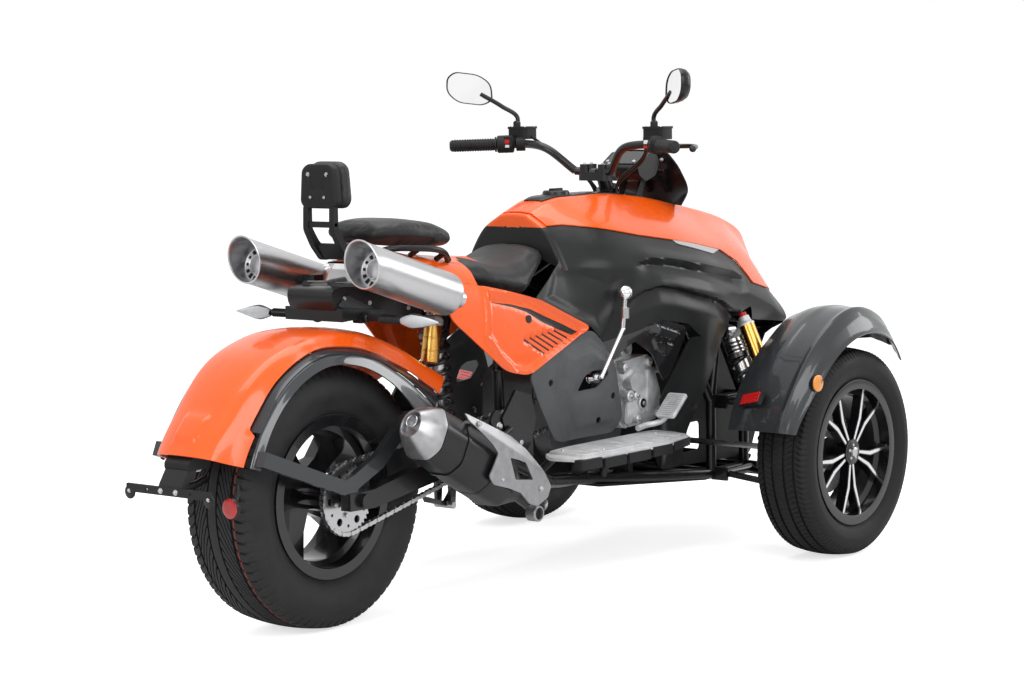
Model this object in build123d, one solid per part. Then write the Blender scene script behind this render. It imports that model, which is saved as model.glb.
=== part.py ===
from build123d import *
import os
from math import atan2, cos, degrees, hypot, radians, sin, tan

# A three-wheeled motorcycle with two steered front wheels and one driven rear wheel.
# Millimetres. While it is modelled, X runs forward from the rear axle, Y to the left and Z up from the
# ground. export() moves it so that the origin is on the ground, at the middle of its length.

# ---------------------------------------------------------------- driving dimensions
WHEELBASE = 1500
FRONT_TRACK = 1073
NOSE_X = 1852  # foremost point of the nose
TAIL_X = -470  # rearmost point of the licence bracket

BEAD_RADIUS = 178  # 14-inch rims all round
FLANGE_RADIUS = 195
FRONT_TYRE_RADIUS = 280
FRONT_TYRE_WIDTH = 165
REAR_TYRE_RADIUS = 317
REAR_TYRE_WIDTH = 213
FRONT_RIM_INSET = 12  # from the tyre's side to the rim's face
REAR_RIM_INSET = 19
TYRE_WALL = 12
BEAD_GAP = 0.3

PANEL = 5  # wall of the body panels
FENDER_WALL = 4
COVER_WALL = 8

STEER_RAKE = 22  # of the steering column, from the vertical
BAR_LOCK = 30  # steering lock of the handlebar, each way
WHEEL_LOCK = 24  # steering lock of the front wheels, each way
STEER_ARM = 125  # kingpin to tie-rod pin
KINGPIN_Y = 445
LOWER_JOINT_Z = 165
UPPER_JOINT_Z = 395
SPINDLE_RADIUS = 14
AXLE_RADIUS = 10
RUNNING_FIT = 0.08  # radial clearance of pins and spindles
PIN_RADIUS = 8
TIE_PIN_RADIUS = 6
FACE_GAP = 0.4  # between faces that turn on each other

SPROCKET_RADIUS = 84  # pitch line of the chain on the rear sprocket
DRIVE_RADIUS = 34
DRIVE_X = 865
DRIVE_Z = 452
CHAIN_Y = -130
CHAIN_WIDTH = 14
CHAIN_DEPTH = 11

RAIL = 14  # radius of the frame's tubes
WELD = 0.8  # how far a weld bead stands out at a rod's bend
SUB_Y, SUB_LOW, SUB_HIGH = 190, 200, 400  # front subframe
RAIL_KNEE = (760, 140, 262)  # where the lower rail bends up to the pivot

SWING_X = 590  # swingarm pivot
SWING_Z = 412
ARM_Y = 168  # middle of each swingarm leg
ARM_WIDTH = 30

CAN_RADIUS = 49
CAN_Y = 190
CAN_WALL = 2.5

# ---------------------------------------------------------------- worked out from them
ORIGIN_X = (NOSE_X + TAIL_X) / 2
WHEEL_Y = FRONT_TRACK / 2
SUB_BACK, SUB_FRONT = WHEELBASE - 80, WHEELBASE + 80
PITMAN = STEER_ARM * sin(radians(WHEEL_LOCK)) / sin(radians(BAR_LOCK))
TIE_X = WHEELBASE - STEER_ARM
TIE_Z = 294
TIE_INNER_Y = 18
PITMAN_DROP = 18  # from the column's foot plate down to the middle of the tie rods
FOOT_X = TIE_X + PITMAN * cos(radians(STEER_RAKE))
FOOT_Z = TIE_Z + PITMAN_DROP + PITMAN * sin(radians(STEER_RAKE))


# ---------------------------------------------------------------- helpers
def side_prism(outline, y_from, y_to):
    """A prism whose outline is given in X and Z."""
    face = make_face(Polyline(*outline, close=True))
    return extrude(Plane.XZ.offset(-y_to) * face, amount=y_to - y_from)


def plan_prism(outline, z_from, z_to):
    """A prism whose outline is given in X and Y."""
    face = make_face(Polyline(*outline, close=True))
    return extrude(Pos(0, 0, z_from) * face, amount=z_to - z_from)


def front_prism(outline, x_from, x_to):
    """A prism whose outline is given in Y and Z."""
    face = make_face(Polyline(*outline, close=True))
    return extrude(Plane.YZ.offset(x_from) * face, amount=x_to - x_from)


def block(low, high):
    size = [b - a for a, b in zip(low, high)]
    middle = [(a + b) / 2 for a, b in zip(low, high)]
    return Pos(*middle) * Box(*size)


def rod(start, end, radius):
    run = Vector(*end) - Vector(*start)
    return Plane(origin=start, z_dir=run) * Cylinder(
        radius, run.length, align=(Align.CENTER, Align.CENTER, Align.MIN)
    )


def bent_rod(points, radius):
    """Straight rods with a weld bead at each bend."""
    shape = rod(points[0], points[1], radius)
    for start, end in zip(points[1:], points[2:]):
        shape += Pos(*start) * Sphere(radius + WELD) + rod(start, end, radius)
    return shape


def tube(points, radius, bend):
    """A bent bar: straight runs joined by arcs of the bend radius."""
    path = FilletPolyline(*points, radius=bend)
    start = Plane(origin=points[0], z_dir=Vector(*points[1]) - Vector(*points[0]))
    return sweep(start * Circle(radius), path=path)


def flipped(shape):
    return mirror(shape, about=Plane.XZ)


def both(shape):
    """The shape and its mirror image, joined where they meet."""
    return shape + flipped(shape)


def pair(shape):
    """The shape and its mirror image, as separate solids."""
    return Compound([*shape.solids(), *flipped(shape).solids()])


def inset(points, wall):
    """A convex outline with each side moved inwards by the wall."""
    moved = []
    count = len(points)
    area = sum(
        points[i][0] * points[(i + 1) % count][1] - points[(i + 1) % count][0] * points[i][1]
        for i in range(count)
    )
    turn = 1 if area > 0 else -1
    lines = []
    for (y0, z0), (y1, z1) in zip(points, points[1:] + points[:1]):
        length = hypot(y1 - y0, z1 - z0)
        shift = (-turn * (z1 - z0) / length * wall, turn * (y1 - y0) / length * wall)
        lines.append(((y0 + shift[0], z0 + shift[1]), (y1 - y0, z1 - z0)))
    for i in range(count):
        (ay, az), (ady, adz) = lines[i - 1]
        (by, bz), (bdy, bdz) = lines[i]
        cross = ady * bdz - adz * bdy
        along = ((by - ay) * bdz - (bz - az) * bdy) / cross
        moved.append((ay + ady * along, az + adz * along))
    return moved


# ---------------------------------------------------------------- body shell
# One row per section: x, then the (y, z) of the crown, the colour edge, the shoulder, the waist, the sill
# and the floor on the left side.
BODY_SECTIONS = [
    (350, (40, 868), (90, 856), (135, 790), (152, 720), (162, 560), (150, 440)),
    (560, (40, 850), (95, 830), (152, 775), (176, 700), (188, 550), (170, 380)),
    (800, (45, 934), (98, 905), (150, 825), (190, 715), (205, 560), (190, 350)),
    (950, (50, 975), (152, 902), (225, 800), (228, 690), (222, 540), (200, 330)),
    (1100, (55, 976), (196, 872), (270, 775), (264, 670), (248, 520), (220, 235)),
    (1280, (55, 962), (213, 846), (290, 738), (276, 640), (256, 480), (215, 190)),
    (1450, (50, 934), (202, 813), (266, 705), (240, 625), (218, 470), (180, 190)),
    (1640, (45, 896), (174, 772), (248, 646), (190, 590), (160, 480), (140, 230)),
    (1725, (42, 870), (136, 735), (240, 610), (170, 560), (130, 470), (110, 280)),
    (1800, (34, 835), (84, 715), (100, 620), (92, 560), (80, 480), (70, 360)),
    (NOSE_X, (22, 765), (40, 700), (46, 640), (42, 590), (36, 540), (30, 480)),
]


def section_outline(row):
    left = list(row[1:])
    right = [(-y, z) for y, z in reversed(left)]
    return left + right


def body_volume(wall):
    """The body's outer form, or the space inside a wall."""
    faces = []
    last = len(BODY_SECTIONS) - 1
    for i, row in enumerate(BODY_SECTIONS):
        x = row[0]
        if wall and i in (0, last):
            x += wall if i == 0 else -wall
        outline = section_outline(row)
        if wall:
            outline = inset(outline, wall)
        faces.append(make_face(Polyline(*[(x, y, z) for y, z in outline], close=True)))
    return loft(faces, ruled=True)


body_outside = body_volume(0)
body_inside = body_volume(PANEL)
body_shell = body_outside - body_inside

# Lower edge of the orange cover, from the tank's rear to the headlights (x, z).
COLOUR_EDGE = [
    (782, 912), (870, 912), (960, 900), (1080, 876), (1172, 862), (1300, 842),
    (1453, 814), (1516, 780), (1552, 718), (1640, 698), (1715, 690),
]
# Rear edge of the tank's flank down along the seat, then the side cover (x, z).
FLANK_REAR = [(816, 852), (798, 822), (675, 740), (859, 653), (901, 611)]
# Lower edge of the flank, forward along the arch over the engine to the wing's tip (x, z).
ARCH_EDGE = [
    (1000, 628), (1098, 654), (1200, 636), (1260, 597), (1395, 580), (1440, 612),
    (1534, 655), (1600, 612), (1722, 598), (1760, 640), (1715, 690),
]
HEADLIGHT = [(26, 806), (60, 838), (150, 842), (178, 770), (168, 696), (40, 688)]  # y, z
CONSOLE_HALF = 48
CONSOLE_FROM, CONSOLE_TO = 850, 1540
HIGH = 1100
WIDE = 400


def half_space(side):
    """A big block on one side of the middle: +1 left, -1 right."""
    low, high = sorted((0, side * 2 * WIDE))
    return block((-600, low, 0), (2000, high, 1200))


headlight_cut = both(front_prism(HEADLIGHT, 1600, NOSE_X + 50)) & block(
    (1640, -WIDE, 600), (NOSE_X + 50, WIDE, HIGH)
)
console_zone = block((CONSOLE_FROM, -CONSOLE_HALF, 860), (CONSOLE_TO, CONSOLE_HALF, HIGH))
top_zone = side_prism([(782, HIGH), *COLOUR_EDGE, (NOSE_X + 20, 690), (NOSE_X + 20, HIGH)], -WIDE, WIDE)
top_cover = (body_shell & top_zone) - console_zone - headlight_cut

column_axis = Plane(
    origin=(FOOT_X, 0, FOOT_Z), z_dir=(-sin(radians(STEER_RAKE)), 0, cos(radians(STEER_RAKE)))
)
column_hole = column_axis * Pos(0, 0, 400) * Cylinder(
    38, 400, align=(Align.CENTER, Align.CENTER, Align.MIN)
)

flank_zone = side_prism(
    [*COLOUR_EDGE, *reversed(ARCH_EDGE[:-1]), *reversed(FLANK_REAR)], -WIDE, WIDE
)
flanks = (body_shell & flank_zone) - headlight_cut
# The wall that closes the tank's rear, orange above and dark below.
TANK_REAR = [(782, HIGH), (782, 912), (816, 852), (824, 856), (790, 914), (790, HIGH)]
tank_rear = body_outside & side_prism(TANK_REAR, -WIDE, WIDE)
top_cover += tank_rear & block((700, -WIDE, 912), (900, WIDE, HIGH))
flanks += tank_rear & block((700, -WIDE, 800), (900, WIDE, 912))
flank_left = flanks & half_space(1)
flank_right = flanks & half_space(-1)

nose_zone = side_prism(
    [(1715, 690), (NOSE_X + 20, 690), (NOSE_X + 20, 520), (1722, 520), (1722, 598), (1760, 640)],
    -WIDE, WIDE,
)
nose = (body_shell & nose_zone) - headlight_cut
lens_depth = 26
headlights = (body_outside - body_volume(lens_depth)) & headlight_cut

SIDE_COVER = [(356, 716), (370, 806), (480, 786), (675, 740), (859, 653), (612, 550), (536, 566)]
side_covers = pair(body_shell & side_prism(SIDE_COVER, 0, WIDE))
LOWER_COVER = [(612, 550), (859, 653), (901, 611), (940, 560), (985, 400), (955, 366), (730, 363), (650, 480)]
COVER_WINDOW = [(735, 448), (850, 500), (880, 470), (770, 425)]
lower_covers = pair(
    (body_shell & side_prism(LOWER_COVER, 0, WIDE)) - side_prism(COVER_WINDOW, 0, WIDE)
)
SHROUD = [(901, 611), (1000, 628), (1098, 654), (1200, 636), (1215, 597), (1150, 500), (1060, 560), (940, 560)]
shrouds = pair(body_shell & side_prism(SHROUD, 0, WIDE))
LEG_PANEL = [(1215, 597), (1260, 597), (1395, 580), (1310, 455), (1240, 345), (1225, 245), (1140, 245), (1110, 440), (1150, 500)]
leg_panels = pair(body_shell & side_prism(LEG_PANEL, 0, WIDE))


def rail_bottom(x):
    """Underside of the lower frame rails."""
    back, front = (RAIL_KNEE[0], RAIL_KNEE[2]), (SUB_BACK, SUB_LOW)
    slope = (front[1] - back[1]) / (front[0] - back[0])
    return (front[1] + slope * (x - SUB_BACK) if x < SUB_BACK else SUB_LOW) - RAIL


pan_top = [(x, rail_bottom(x) - 0.6) for x in (935, SUB_BACK, SUB_FRONT + 20)] + [(1650, 224)]
belly_pan = side_prism(pan_top + [(x, z - 7) for x, z in reversed(pan_top)], -168, 168)

# ---------------------------------------------------------------- console, cap and flyscreen
console = (body_shell & console_zone) - column_hole
fuel_cap = Pos(985, 0, 976) * Cylinder(38, 12)
console += fuel_cap
screen_plate = side_prism([(1300, 985), (1330, 985), (1420, 1075), (1400, 1105), (1388, 1100)], -62, 62)
screen_plate += side_prism([(1290, 955), (1312, 955), (1332, 990), (1300, 990)], -30, 30)
instrument = side_prism([(1262, 1050), (1330, 1088), (1362, 1060), (1320, 1012)], -66, 66)
console += screen_plate + instrument

# ---------------------------------------------------------------- seats and backrest
rider_side = [(480, 788), (492, 852), (560, 834), (621, 824), (690, 829), (743, 845), (800, 868), (808, 852), (792, 822), (675, 742), (520, 777)]
rider_plan = [(480, -105), (560, -142), (660, -150), (740, -128), (830, -92), (830, 92), (740, 128), (660, 150), (560, 142), (480, 105)]
rider_seat = side_prism(rider_side, -150, 150) & plan_prism(rider_plan, 700, 900)
pillion_side = [(128, 905), (132, 950), (209, 957), (355, 946), (500, 924), (508, 886), (420, 882), (250, 900)]
pillion_plan = [(128, -88), (200, -112), (400, -136), (490, -122), (510, -80), (510, 80), (490, 122), (400, 136), (200, 112), (128, 88)]
passenger_seat = side_prism(pillion_side, -140, 140) & plan_prism(pillion_plan, 860, 980)

pad_front = [(-70, 1010), (-62, 1096), (-40, 1108), (40, 1108), (62, 1096), (70, 1010), (56, 994), (-56, 994)]
backrest_pad = front_prism(pad_front, 0, 58)
shell_front = [(-66, 1008), (-58, 1092), (-38, 1102), (38, 1102), (58, 1092), (66, 1008), (52, 996), (-52, 996)]
backrest = front_prism(shell_front, -18, -FACE_GAP)
for side in (-1, 1):
    backrest += side_prism([(-14, 1005), (-14, 930), (60, 905), (150, 873), (176, 874), (178, 884), (66, 918), (0, 940), (0, 1005)], side * 42 - 9, side * 42 + 9)
backrest += block((-12, -50, 948), (-2, 50, 962))
backrest += side_prism([(40, 912), (150, 873), (176, 874), (178, 880), (50, 918)], -50, 50)

# The rails run under the seat's edge and are joined by a plate that the seat rests on.
seat_slope = (882 - 900) / (420 - 250)


def seat_bottom(x):
    return 900 + seat_slope * (x - 250)


rail_plate = [(262, seat_bottom(262)), (400, seat_bottom(400)), (400, seat_bottom(400) - 5), (262, seat_bottom(262) - 5)]
grab_rail = side_prism(rail_plate, -140, 140)
for side in (-1, 1):
    rail = [(150, side * 112, 884), (290, side * 146, 888), (390, side * 146, 872), (430, side * 112, 846)]
    grab_rail += bent_rod(rail, 9)
    grab_rail += block((296, min(side * 60, side * 74), 866), (330, max(side * 60, side * 74), 890))
grab_rail -= side_prism([(128, 905), (250, 900), (420, 882), (508, 886), (508, 960), (128, 960)], -139, 139)

# ---------------------------------------------------------------- tail
cowl_side = [(20, 856), (90, 868), (280, 880), (350, 868), (350, 760), (200, 762), (40, 790)]
cowl_plan = [(18, -62), (120, -96), (350, -130), (350, 130), (120, 96), (18, 62)]
tail_cowl = side_prism(cowl_side, -140, 140) & plan_prism(cowl_plan, 700, 900)
tail_cowl -= side_prism([(40, 846), (90, 858), (360, 858), (360, 740), (60, 740)], -140, 140) & plan_prism(
    [(30, -56), (120, -88), (360, -124), (360, 124), (120, 88), (30, 56)], 700, 900
)
rear_top = body_shell & side_prism([(350, 900), (350, 716), (356, 716), (370, 806), (480, 788), (492, 852), (560, 834), (560, 850), (480, 900)], -WIDE, WIDE)
tail_cowl += rear_top - block((345, -100, 765), (358, 100, 850))
backrest -= tail_cowl
grab_rail -= tail_cowl

tail_lamp = side_prism([(0, 800), (-14, 816), (-14, 850), (0, 862), (19.7, 862), (19.7, 800)], -104, 104)
SIGNAL_X, SIGNAL_Z = 114, 731
signal_plan = [(-14, 218), (-10, 240), (-4, 300), (0, 328), (12, 320), (24, 280), (28, 240), (20, 218)]
signal = plan_prism([(x + SIGNAL_X, y) for x, y in signal_plan], SIGNAL_Z - 16, SIGNAL_Z + 16)
signal += rod((SIGNAL_X + 4, 92.3, SIGNAL_Z + 8), (SIGNAL_X + 4, 220, SIGNAL_Z), 9)
rear_signals = pair(signal)

# ---------------------------------------------------------------- silencers
CAN_SLOPE = 17
can_frame = Plane(
    origin=(14, CAN_Y, 867),
    x_dir=(cos(radians(CAN_SLOPE)), 0, -sin(radians(CAN_SLOPE))),
    z_dir=(0, -1, 0),
)
CAN_LENGTH = 325
can_profile = [
    (-70, CAN_RADIUS - CAN_WALL), (-70, CAN_RADIUS), (CAN_LENGTH - 20, CAN_RADIUS), (CAN_LENGTH, 22),
    (CAN_LENGTH + 30, 22), (CAN_LENGTH + 30, 19), (CAN_LENGTH - 2, 19), (CAN_LENGTH - 22, CAN_RADIUS - CAN_WALL),
]
can = revolve(make_face(Polyline(*can_profile, close=True)), Axis.X)
can_baffle = [(62, 20), (62, CAN_RADIUS - CAN_WALL), (66, CAN_RADIUS - CAN_WALL), (66, 24), (160, 24), (160, 20)]
can += revolve(make_face(Polyline(*can_baffle, close=True)), Axis.X)
slash = Pos(-10, 0, 0) * Rot(0, 0, 24) * Box(160, 300, 300, align=(Align.MAX, Align.CENTER, Align.CENTER))
can = can_frame * (can - slash)
strap = block((150, 99, 812), (190, CAN_Y - CAN_RADIUS + 5, 826)) - tail_cowl
bore = can_frame * (Rot(0, 90, 0) * Cylinder(CAN_RADIUS - CAN_WALL, 600))
upper_silencers = pair(can + (strap - bore))

# Frame of the lower silencer on the right: X along it, forward and down, Y up, Z outboard.
low_can_frame = Plane(
    origin=(72, -272, 497), x_dir=(cos(radians(29)), 0, -sin(radians(29))), z_dir=(0, -1, 0)
)


def can_section(x, half_out, half_up, corner):
    """One eight-sided section of the lower silencer, at x along its axis."""
    outline = [
        (half_up, corner), (half_up * 0.35, half_out), (-half_up * 0.55, half_out), (-half_up, corner),
        (-half_up, -corner), (-half_up * 0.55, -half_out), (half_up * 0.35, -half_out), (half_up, -corner),
    ]
    return make_face(Polyline(*[(x, up, out) for up, out in outline], close=True))


low_can = loft([
    can_section(0, 32, 36, 16), can_section(62, 58, 66, 30), can_section(345, 62, 72, 32),
    can_section(430, 26, 28, 14),
], ruled=True)
low_can -= Pos(20, 6, 0) * Rot(0, 90, 0) * Cylinder(15, 60)
low_pipe = rod((430, 0, 0), (565, 4, -20), 20)
SHIELD = [(255, 66), (330, 88), (560, 30), (600, -40), (560, -48), (430, -30), (395, 20), (330, 52)]
SHIELD_WINDOW = [(415, 40), (520, 12), (545, -22), (440, -8)]
shield_face = make_face(Polyline(*SHIELD, close=True)) - make_face(Polyline(*SHIELD_WINDOW, close=True))
SHIELD_OUT = 66
shield = extrude(Pos(0, 0, SHIELD_OUT) * shield_face, amount=4)
shield += rod((322, 60, 40), (322, 60, SHIELD_OUT), 8) + rod((552, -6, -20), (552, -6, SHIELD_OUT), 8)
lower_silencer = low_can_frame * (low_can + low_pipe + shield)
lower_silencer += bent_rod([(385, -236, 392), (530, -204, 428), (530, -195.3, 428)], 7)
HEADER = [(566, -252, 227), (650, -200, 222), (760, -70, 238), (1090, -40, 256), (1176, -40, 330), (1134, -40, 440)]
header = tube(HEADER, 16, 30)

# ---------------------------------------------------------------- wheels
def tyre(radius, width, rim_half):
    """A carcass open to the rim, turned about Y."""
    bead = rim_half - 6
    foot = bead - 20
    middle = (BEAD_RADIUS + radius) / 2 + 4
    shoulder = width * 0.40
    side = width / 2
    low = BEAD_RADIUS + BEAD_GAP
    high = FLANGE_RADIUS + 2
    crown = radius - 7
    under = crown - TYRE_WALL
    inner = shoulder - 8
    outer = [
        Line((foot, low), (bead, low)),
        Line((bead, low), (bead, high)),
        ThreePointArc((bead, high), (side, middle), (shoulder, crown)),
        ThreePointArc((shoulder, crown), (0, radius), (-shoulder, crown)),
        ThreePointArc((-shoulder, crown), (-side, middle), (-bead, high)),
        Line((-bead, high), (-bead, low)),
        Line((-bead, low), (-foot, low)),
        Line((-foot, low), (-foot, high)),
        ThreePointArc((-foot, high), (-side + TYRE_WALL, middle), (-inner, under)),
        Line((-inner, under), (inner, under)),
        ThreePointArc((inner, under), (side - TYRE_WALL, middle), (foot, high)),
        Line((foot, high), (foot, low)),
    ]
    return revolve(Plane.YZ * make_face(outer), Axis.Y)


def turned(outline):
    """A ring or drum turned about Y from an outline in (y, radius)."""
    return revolve(Plane.YZ * make_face(Polyline(*outline, close=True)), Axis.Y)


def rim_barrel(rim_half):
    well = rim_half * 0.5
    flange = rim_half - 6
    left = [
        (well - 8, 164), (well, BEAD_RADIUS), (flange, BEAD_RADIUS), (flange, FLANGE_RADIUS),
        (rim_half, FLANGE_RADIUS), (rim_half, 170), (well + 4, 170), (well - 4, 156),
    ]
    outer, inner = left[:6], left[6:]
    mirrored = [(-y, r) for y, r in reversed(outer)]
    return turned(mirrored + outer + inner + [(-y, r) for y, r in reversed(inner)])


FRONT_HALF = FRONT_TYRE_WIDTH / 2 - FRONT_RIM_INSET
REAR_HALF = REAR_TYRE_WIDTH / 2 - REAR_RIM_INSET
SPOKE_PAIRS = 5
SPOKE = [(30, 2), (30, 12), (92, 22), (166, 50), (169, 38), (98, 9)]  # radial, sideways
SPOKE_IN, SPOKE_OUT = 28, 54
HUB_RADIUS = 34


def spoke(outline, y_in, y_out, angle):
    face = make_face(Polyline(*outline, close=True))
    return Rot(0, angle, 0) * extrude(Plane.XZ.offset(-y_out) * face, amount=y_out - y_in)


front_rim = rim_barrel(FRONT_HALF)
for k in range(SPOKE_PAIRS):
    for hand in (-1, 1):
        front_rim += spoke([(a, hand * b) for a, b in SPOKE], SPOKE_IN, SPOKE_OUT, 90 + 360 * k / SPOKE_PAIRS)
hub_bore = SPINDLE_RADIUS + RUNNING_FIT
hub_core = turned([(-60, 0), (-60, hub_bore), (60, hub_bore), (60, 0)])
front_rim += turned([(-22, 0), (-22, HUB_RADIUS), (SPOKE_OUT + 4, HUB_RADIUS), (SPOKE_OUT + 4, 0)])
front_rim -= hub_core
DISC_Y = -28
front_disc = turned([
    (DISC_Y - 2.5, HUB_RADIUS), (DISC_Y - 2.5, 122), (DISC_Y + 2.5, 122), (DISC_Y + 2.5, 56),
    (-22, 56), (-22, HUB_RADIUS - 10), (DISC_Y, HUB_RADIUS - 10), (DISC_Y, HUB_RADIUS),
])

REAR_SPOKES = 5
WIDE_SPOKE = [(26, -34), (26, 34), (90, 26), (163, 38), (163, -38), (90, -26)]
axle_bore = AXLE_RADIUS + RUNNING_FIT
REAR_HUB_FROM, REAR_HUB_TO = -118, 100
rear_rim = rim_barrel(REAR_HALF)
for k in range(REAR_SPOKES):
    rear_rim += spoke(WIDE_SPOKE, 18, 52, 30 + 360 * k / REAR_SPOKES)
rear_rim += turned([(REAR_HUB_FROM, 0), (REAR_HUB_FROM, 36), (REAR_HUB_TO, 36), (REAR_HUB_TO, 0)])
rear_rim -= turned([(-150, 0), (-150, axle_bore), (150, axle_bore), (150, 0)])
SPROCKET_TIP = SPROCKET_RADIUS - CHAIN_DEPTH / 2 - 0.8
rear_sprocket = turned([
    (CHAIN_Y - 3, 20), (CHAIN_Y - 3, SPROCKET_TIP), (CHAIN_Y + 3, SPROCKET_TIP), (CHAIN_Y + 3, 40),
    (REAR_HUB_FROM, 40), (REAR_HUB_FROM, 20),
])
for k in range(6):
    a = radians(60 * k)
    rear_sprocket -= Pos(60 * cos(a), 0, 60 * sin(a)) * Rot(90, 0, 0) * Cylinder(9, 400)
rear_disc = turned([(REAR_HUB_TO, 20), (REAR_HUB_TO, 40), (106, 40), (106, 105), (111, 105), (111, 20)])

rear_place = Pos(0, 0, REAR_TYRE_RADIUS)
front_place = Pos(WHEELBASE, WHEEL_Y, FRONT_TYRE_RADIUS)
front_tyre_left = front_place * tyre(FRONT_TYRE_RADIUS, FRONT_TYRE_WIDTH, FRONT_HALF)
front_rim_left = front_place * front_rim
front_disc_left = front_place * front_disc
rear_tyre = rear_place * tyre(REAR_TYRE_RADIUS, REAR_TYRE_WIDTH, REAR_HALF)
rear_rim = rear_place * rear_rim
rear_sprocket = rear_place * rear_sprocket
rear_disc = rear_place * rear_disc

# ---------------------------------------------------------------- rear fender
def radial_loft(centre_x, centre_z, rows):
    """A shell lofted through sections on planes that stand on a wheel's axis.

    Each row is an angle and a closed outline of (y, radius) points."""
    faces = []
    for angle, outline in rows:
        a = radians(angle)
        ring = [(centre_x + r * cos(a), y, centre_z + r * sin(a)) for y, r in outline]
        faces.append(make_face(Polyline(*ring, close=True)))
    return loft(faces, ruled=True)


# Angle from the horizontal, then the radius at the crest, at the shell's edge and at the arch's lip.
REAR_FENDER = [
    (31, 486, 408, 292), (42, 440, 378, 291), (65, 404, 352, 300), (87, 393, 356, 318), (107, 399, 370, 335),
    (125, 420, 375, 339), (142, 436, 367, 338), (161, 474, 374, 334),
]
FENDER_EDGE_Y, FENDER_LIP_Y = 120, 160
FENDER_CREST_Y, FENDER_SIDE_Y = 34, 88
shell_rows, arch_rows, inside_rows = [], [], []
for angle, crest, edge, lip in REAR_FENDER:
    side_r = (crest + edge) / 2 + (crest - edge) * 0.32
    half = [(FENDER_CREST_Y, crest), (FENDER_SIDE_Y, side_r), (FENDER_EDGE_Y, edge)]
    arch = [(-y, r) for y, r in reversed(half)] + half
    under = [(y * 0.97, r - FENDER_WALL) for y, r in arch]
    shell_rows.append((angle, arch + under[::-1]))
    inside_rows.append((angle, under + [(under[-1][0], REAR_TYRE_RADIUS), (under[0][0], REAR_TYRE_RADIUS)]))
    bend = (edge + lip) / 2 + 6
    flank = [(FENDER_EDGE_Y, edge), (FENDER_LIP_Y - 12, bend), (FENDER_LIP_Y, lip)]
    arch_rows.append((angle, flank + [(y - FENDER_WALL, r - 2) for y, r in reversed(flank)]))
rear_fender = radial_loft(0, REAR_TYRE_RADIUS, shell_rows)
arch_left = radial_loft(0, REAR_TYRE_RADIUS, arch_rows) - rear_fender
fender_arches = pair(arch_left)
fender_inside = radial_loft(0, REAR_TYRE_RADIUS, inside_rows)

STAY = [
    (-327, 437), (-59, 337), (-14, 346), (76, 385), (140, 440), (196, 486), (176, 508), (120, 470), (60, 420),
    (-22, 382), (-58, 372), (-313, 469),
]
stay_left = side_prism(STAY, FENDER_LIP_Y + 1, FENDER_LIP_Y + 19)
stay_left += side_prism([(-44, 337.4), (-14, 338.1), (-14, 352), (-44, 350)], FENDER_LIP_Y + 1, FENDER_LIP_Y + 19)
stay_left = stay_left + side_prism([(-327, 437), (-250, 409), (-240, 440), (-313, 469)], 146, 162) - arch_left
fender_stays = pair(stay_left)

# ---------------------------------------------------------------- licence bracket at the back
BRACKET_X = -446
plate_bracket = block((BRACKET_X - 5, -136, 372), (BRACKET_X, 136, 394))
bracket_arm = side_prism([(BRACKET_X, 376), (BRACKET_X, 392), (-400, 452), (-330, 470), (-330, 462), (-392, 440), (-436, 380)], -36, 36)
plate_bracket += bracket_arm
plate_bracket += block((-468, -40, 438), (-404, 40, 466))
plate_bracket += block((-436, -30, 455), (-392, 30, 540)) & fender_inside
for side in (-1, 1):
    tab = side_prism([(BRACKET_X - 5, 394), (BRACKET_X + 12, 394), (BRACKET_X + 22, 350), (BRACKET_X + 8, 330), (BRACKET_X - 6, 340)], side * 138 - 2.5, side * 138 + 2.5)
    plate_bracket += tab + rod((BRACKET_X + 8, side * 138, 352), (BRACKET_X + 8, side * 152, 352), 21)
PLATE_HOLE = 3.3
PLATE_SPACING = 140
for side in (-1, 1):
    plate_bracket -= rod((BRACKET_X - 20, side * PLATE_SPACING / 2, 383), (BRACKET_X + 20, side * PLATE_SPACING / 2, 383), PLATE_HOLE)

# ---------------------------------------------------------------- swingarm, chain and rear shock
AXLE_Z = REAR_TYRE_RADIUS
leg = side_prism(
    [(-46, AXLE_Z - 20), (-46, AXLE_Z + 20), (40, AXLE_Z + 22), (SWING_X - 30, SWING_Z + 30), (SWING_X + 28, SWING_Z + 26),
     (SWING_X + 28, SWING_Z - 26), (SWING_X - 60, SWING_Z - 44), (40, AXLE_Z - 22)],
    ARM_Y - ARM_WIDTH / 2, ARM_Y + ARM_WIDTH / 2,
)
swingarm = both(leg)
cross_x, cross_z = SWING_X - 152, SWING_Z - 24
swingarm += rod((cross_x, -ARM_Y, cross_z), (cross_x, ARM_Y, cross_z), 20)
swingarm += rod((0, -194, AXLE_Z), (0, 194, AXLE_Z), AXLE_RADIUS)
swingarm -= rod((SWING_X, -200, SWING_Z), (SWING_X, 200, SWING_Z), 12)
for low, high in ((REAR_HUB_TO + 13, ARM_Y - 15), (-ARM_Y + 15, CHAIN_Y - 5)):
    swingarm += rod((0, low, AXLE_Z), (0, high, AXLE_Z), 16)
swingarm += rod((0, -196, AXLE_Z), (0, -ARM_Y, AXLE_Z), 17) + rod((0, ARM_Y, AXLE_Z), (0, 196, AXLE_Z), 17)

run = hypot(DRIVE_X, DRIVE_Z - AXLE_Z)
tilt = atan2(DRIVE_Z - AXLE_Z, DRIVE_X)
lean = atan2(SPROCKET_RADIUS - DRIVE_RADIUS, run)


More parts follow.
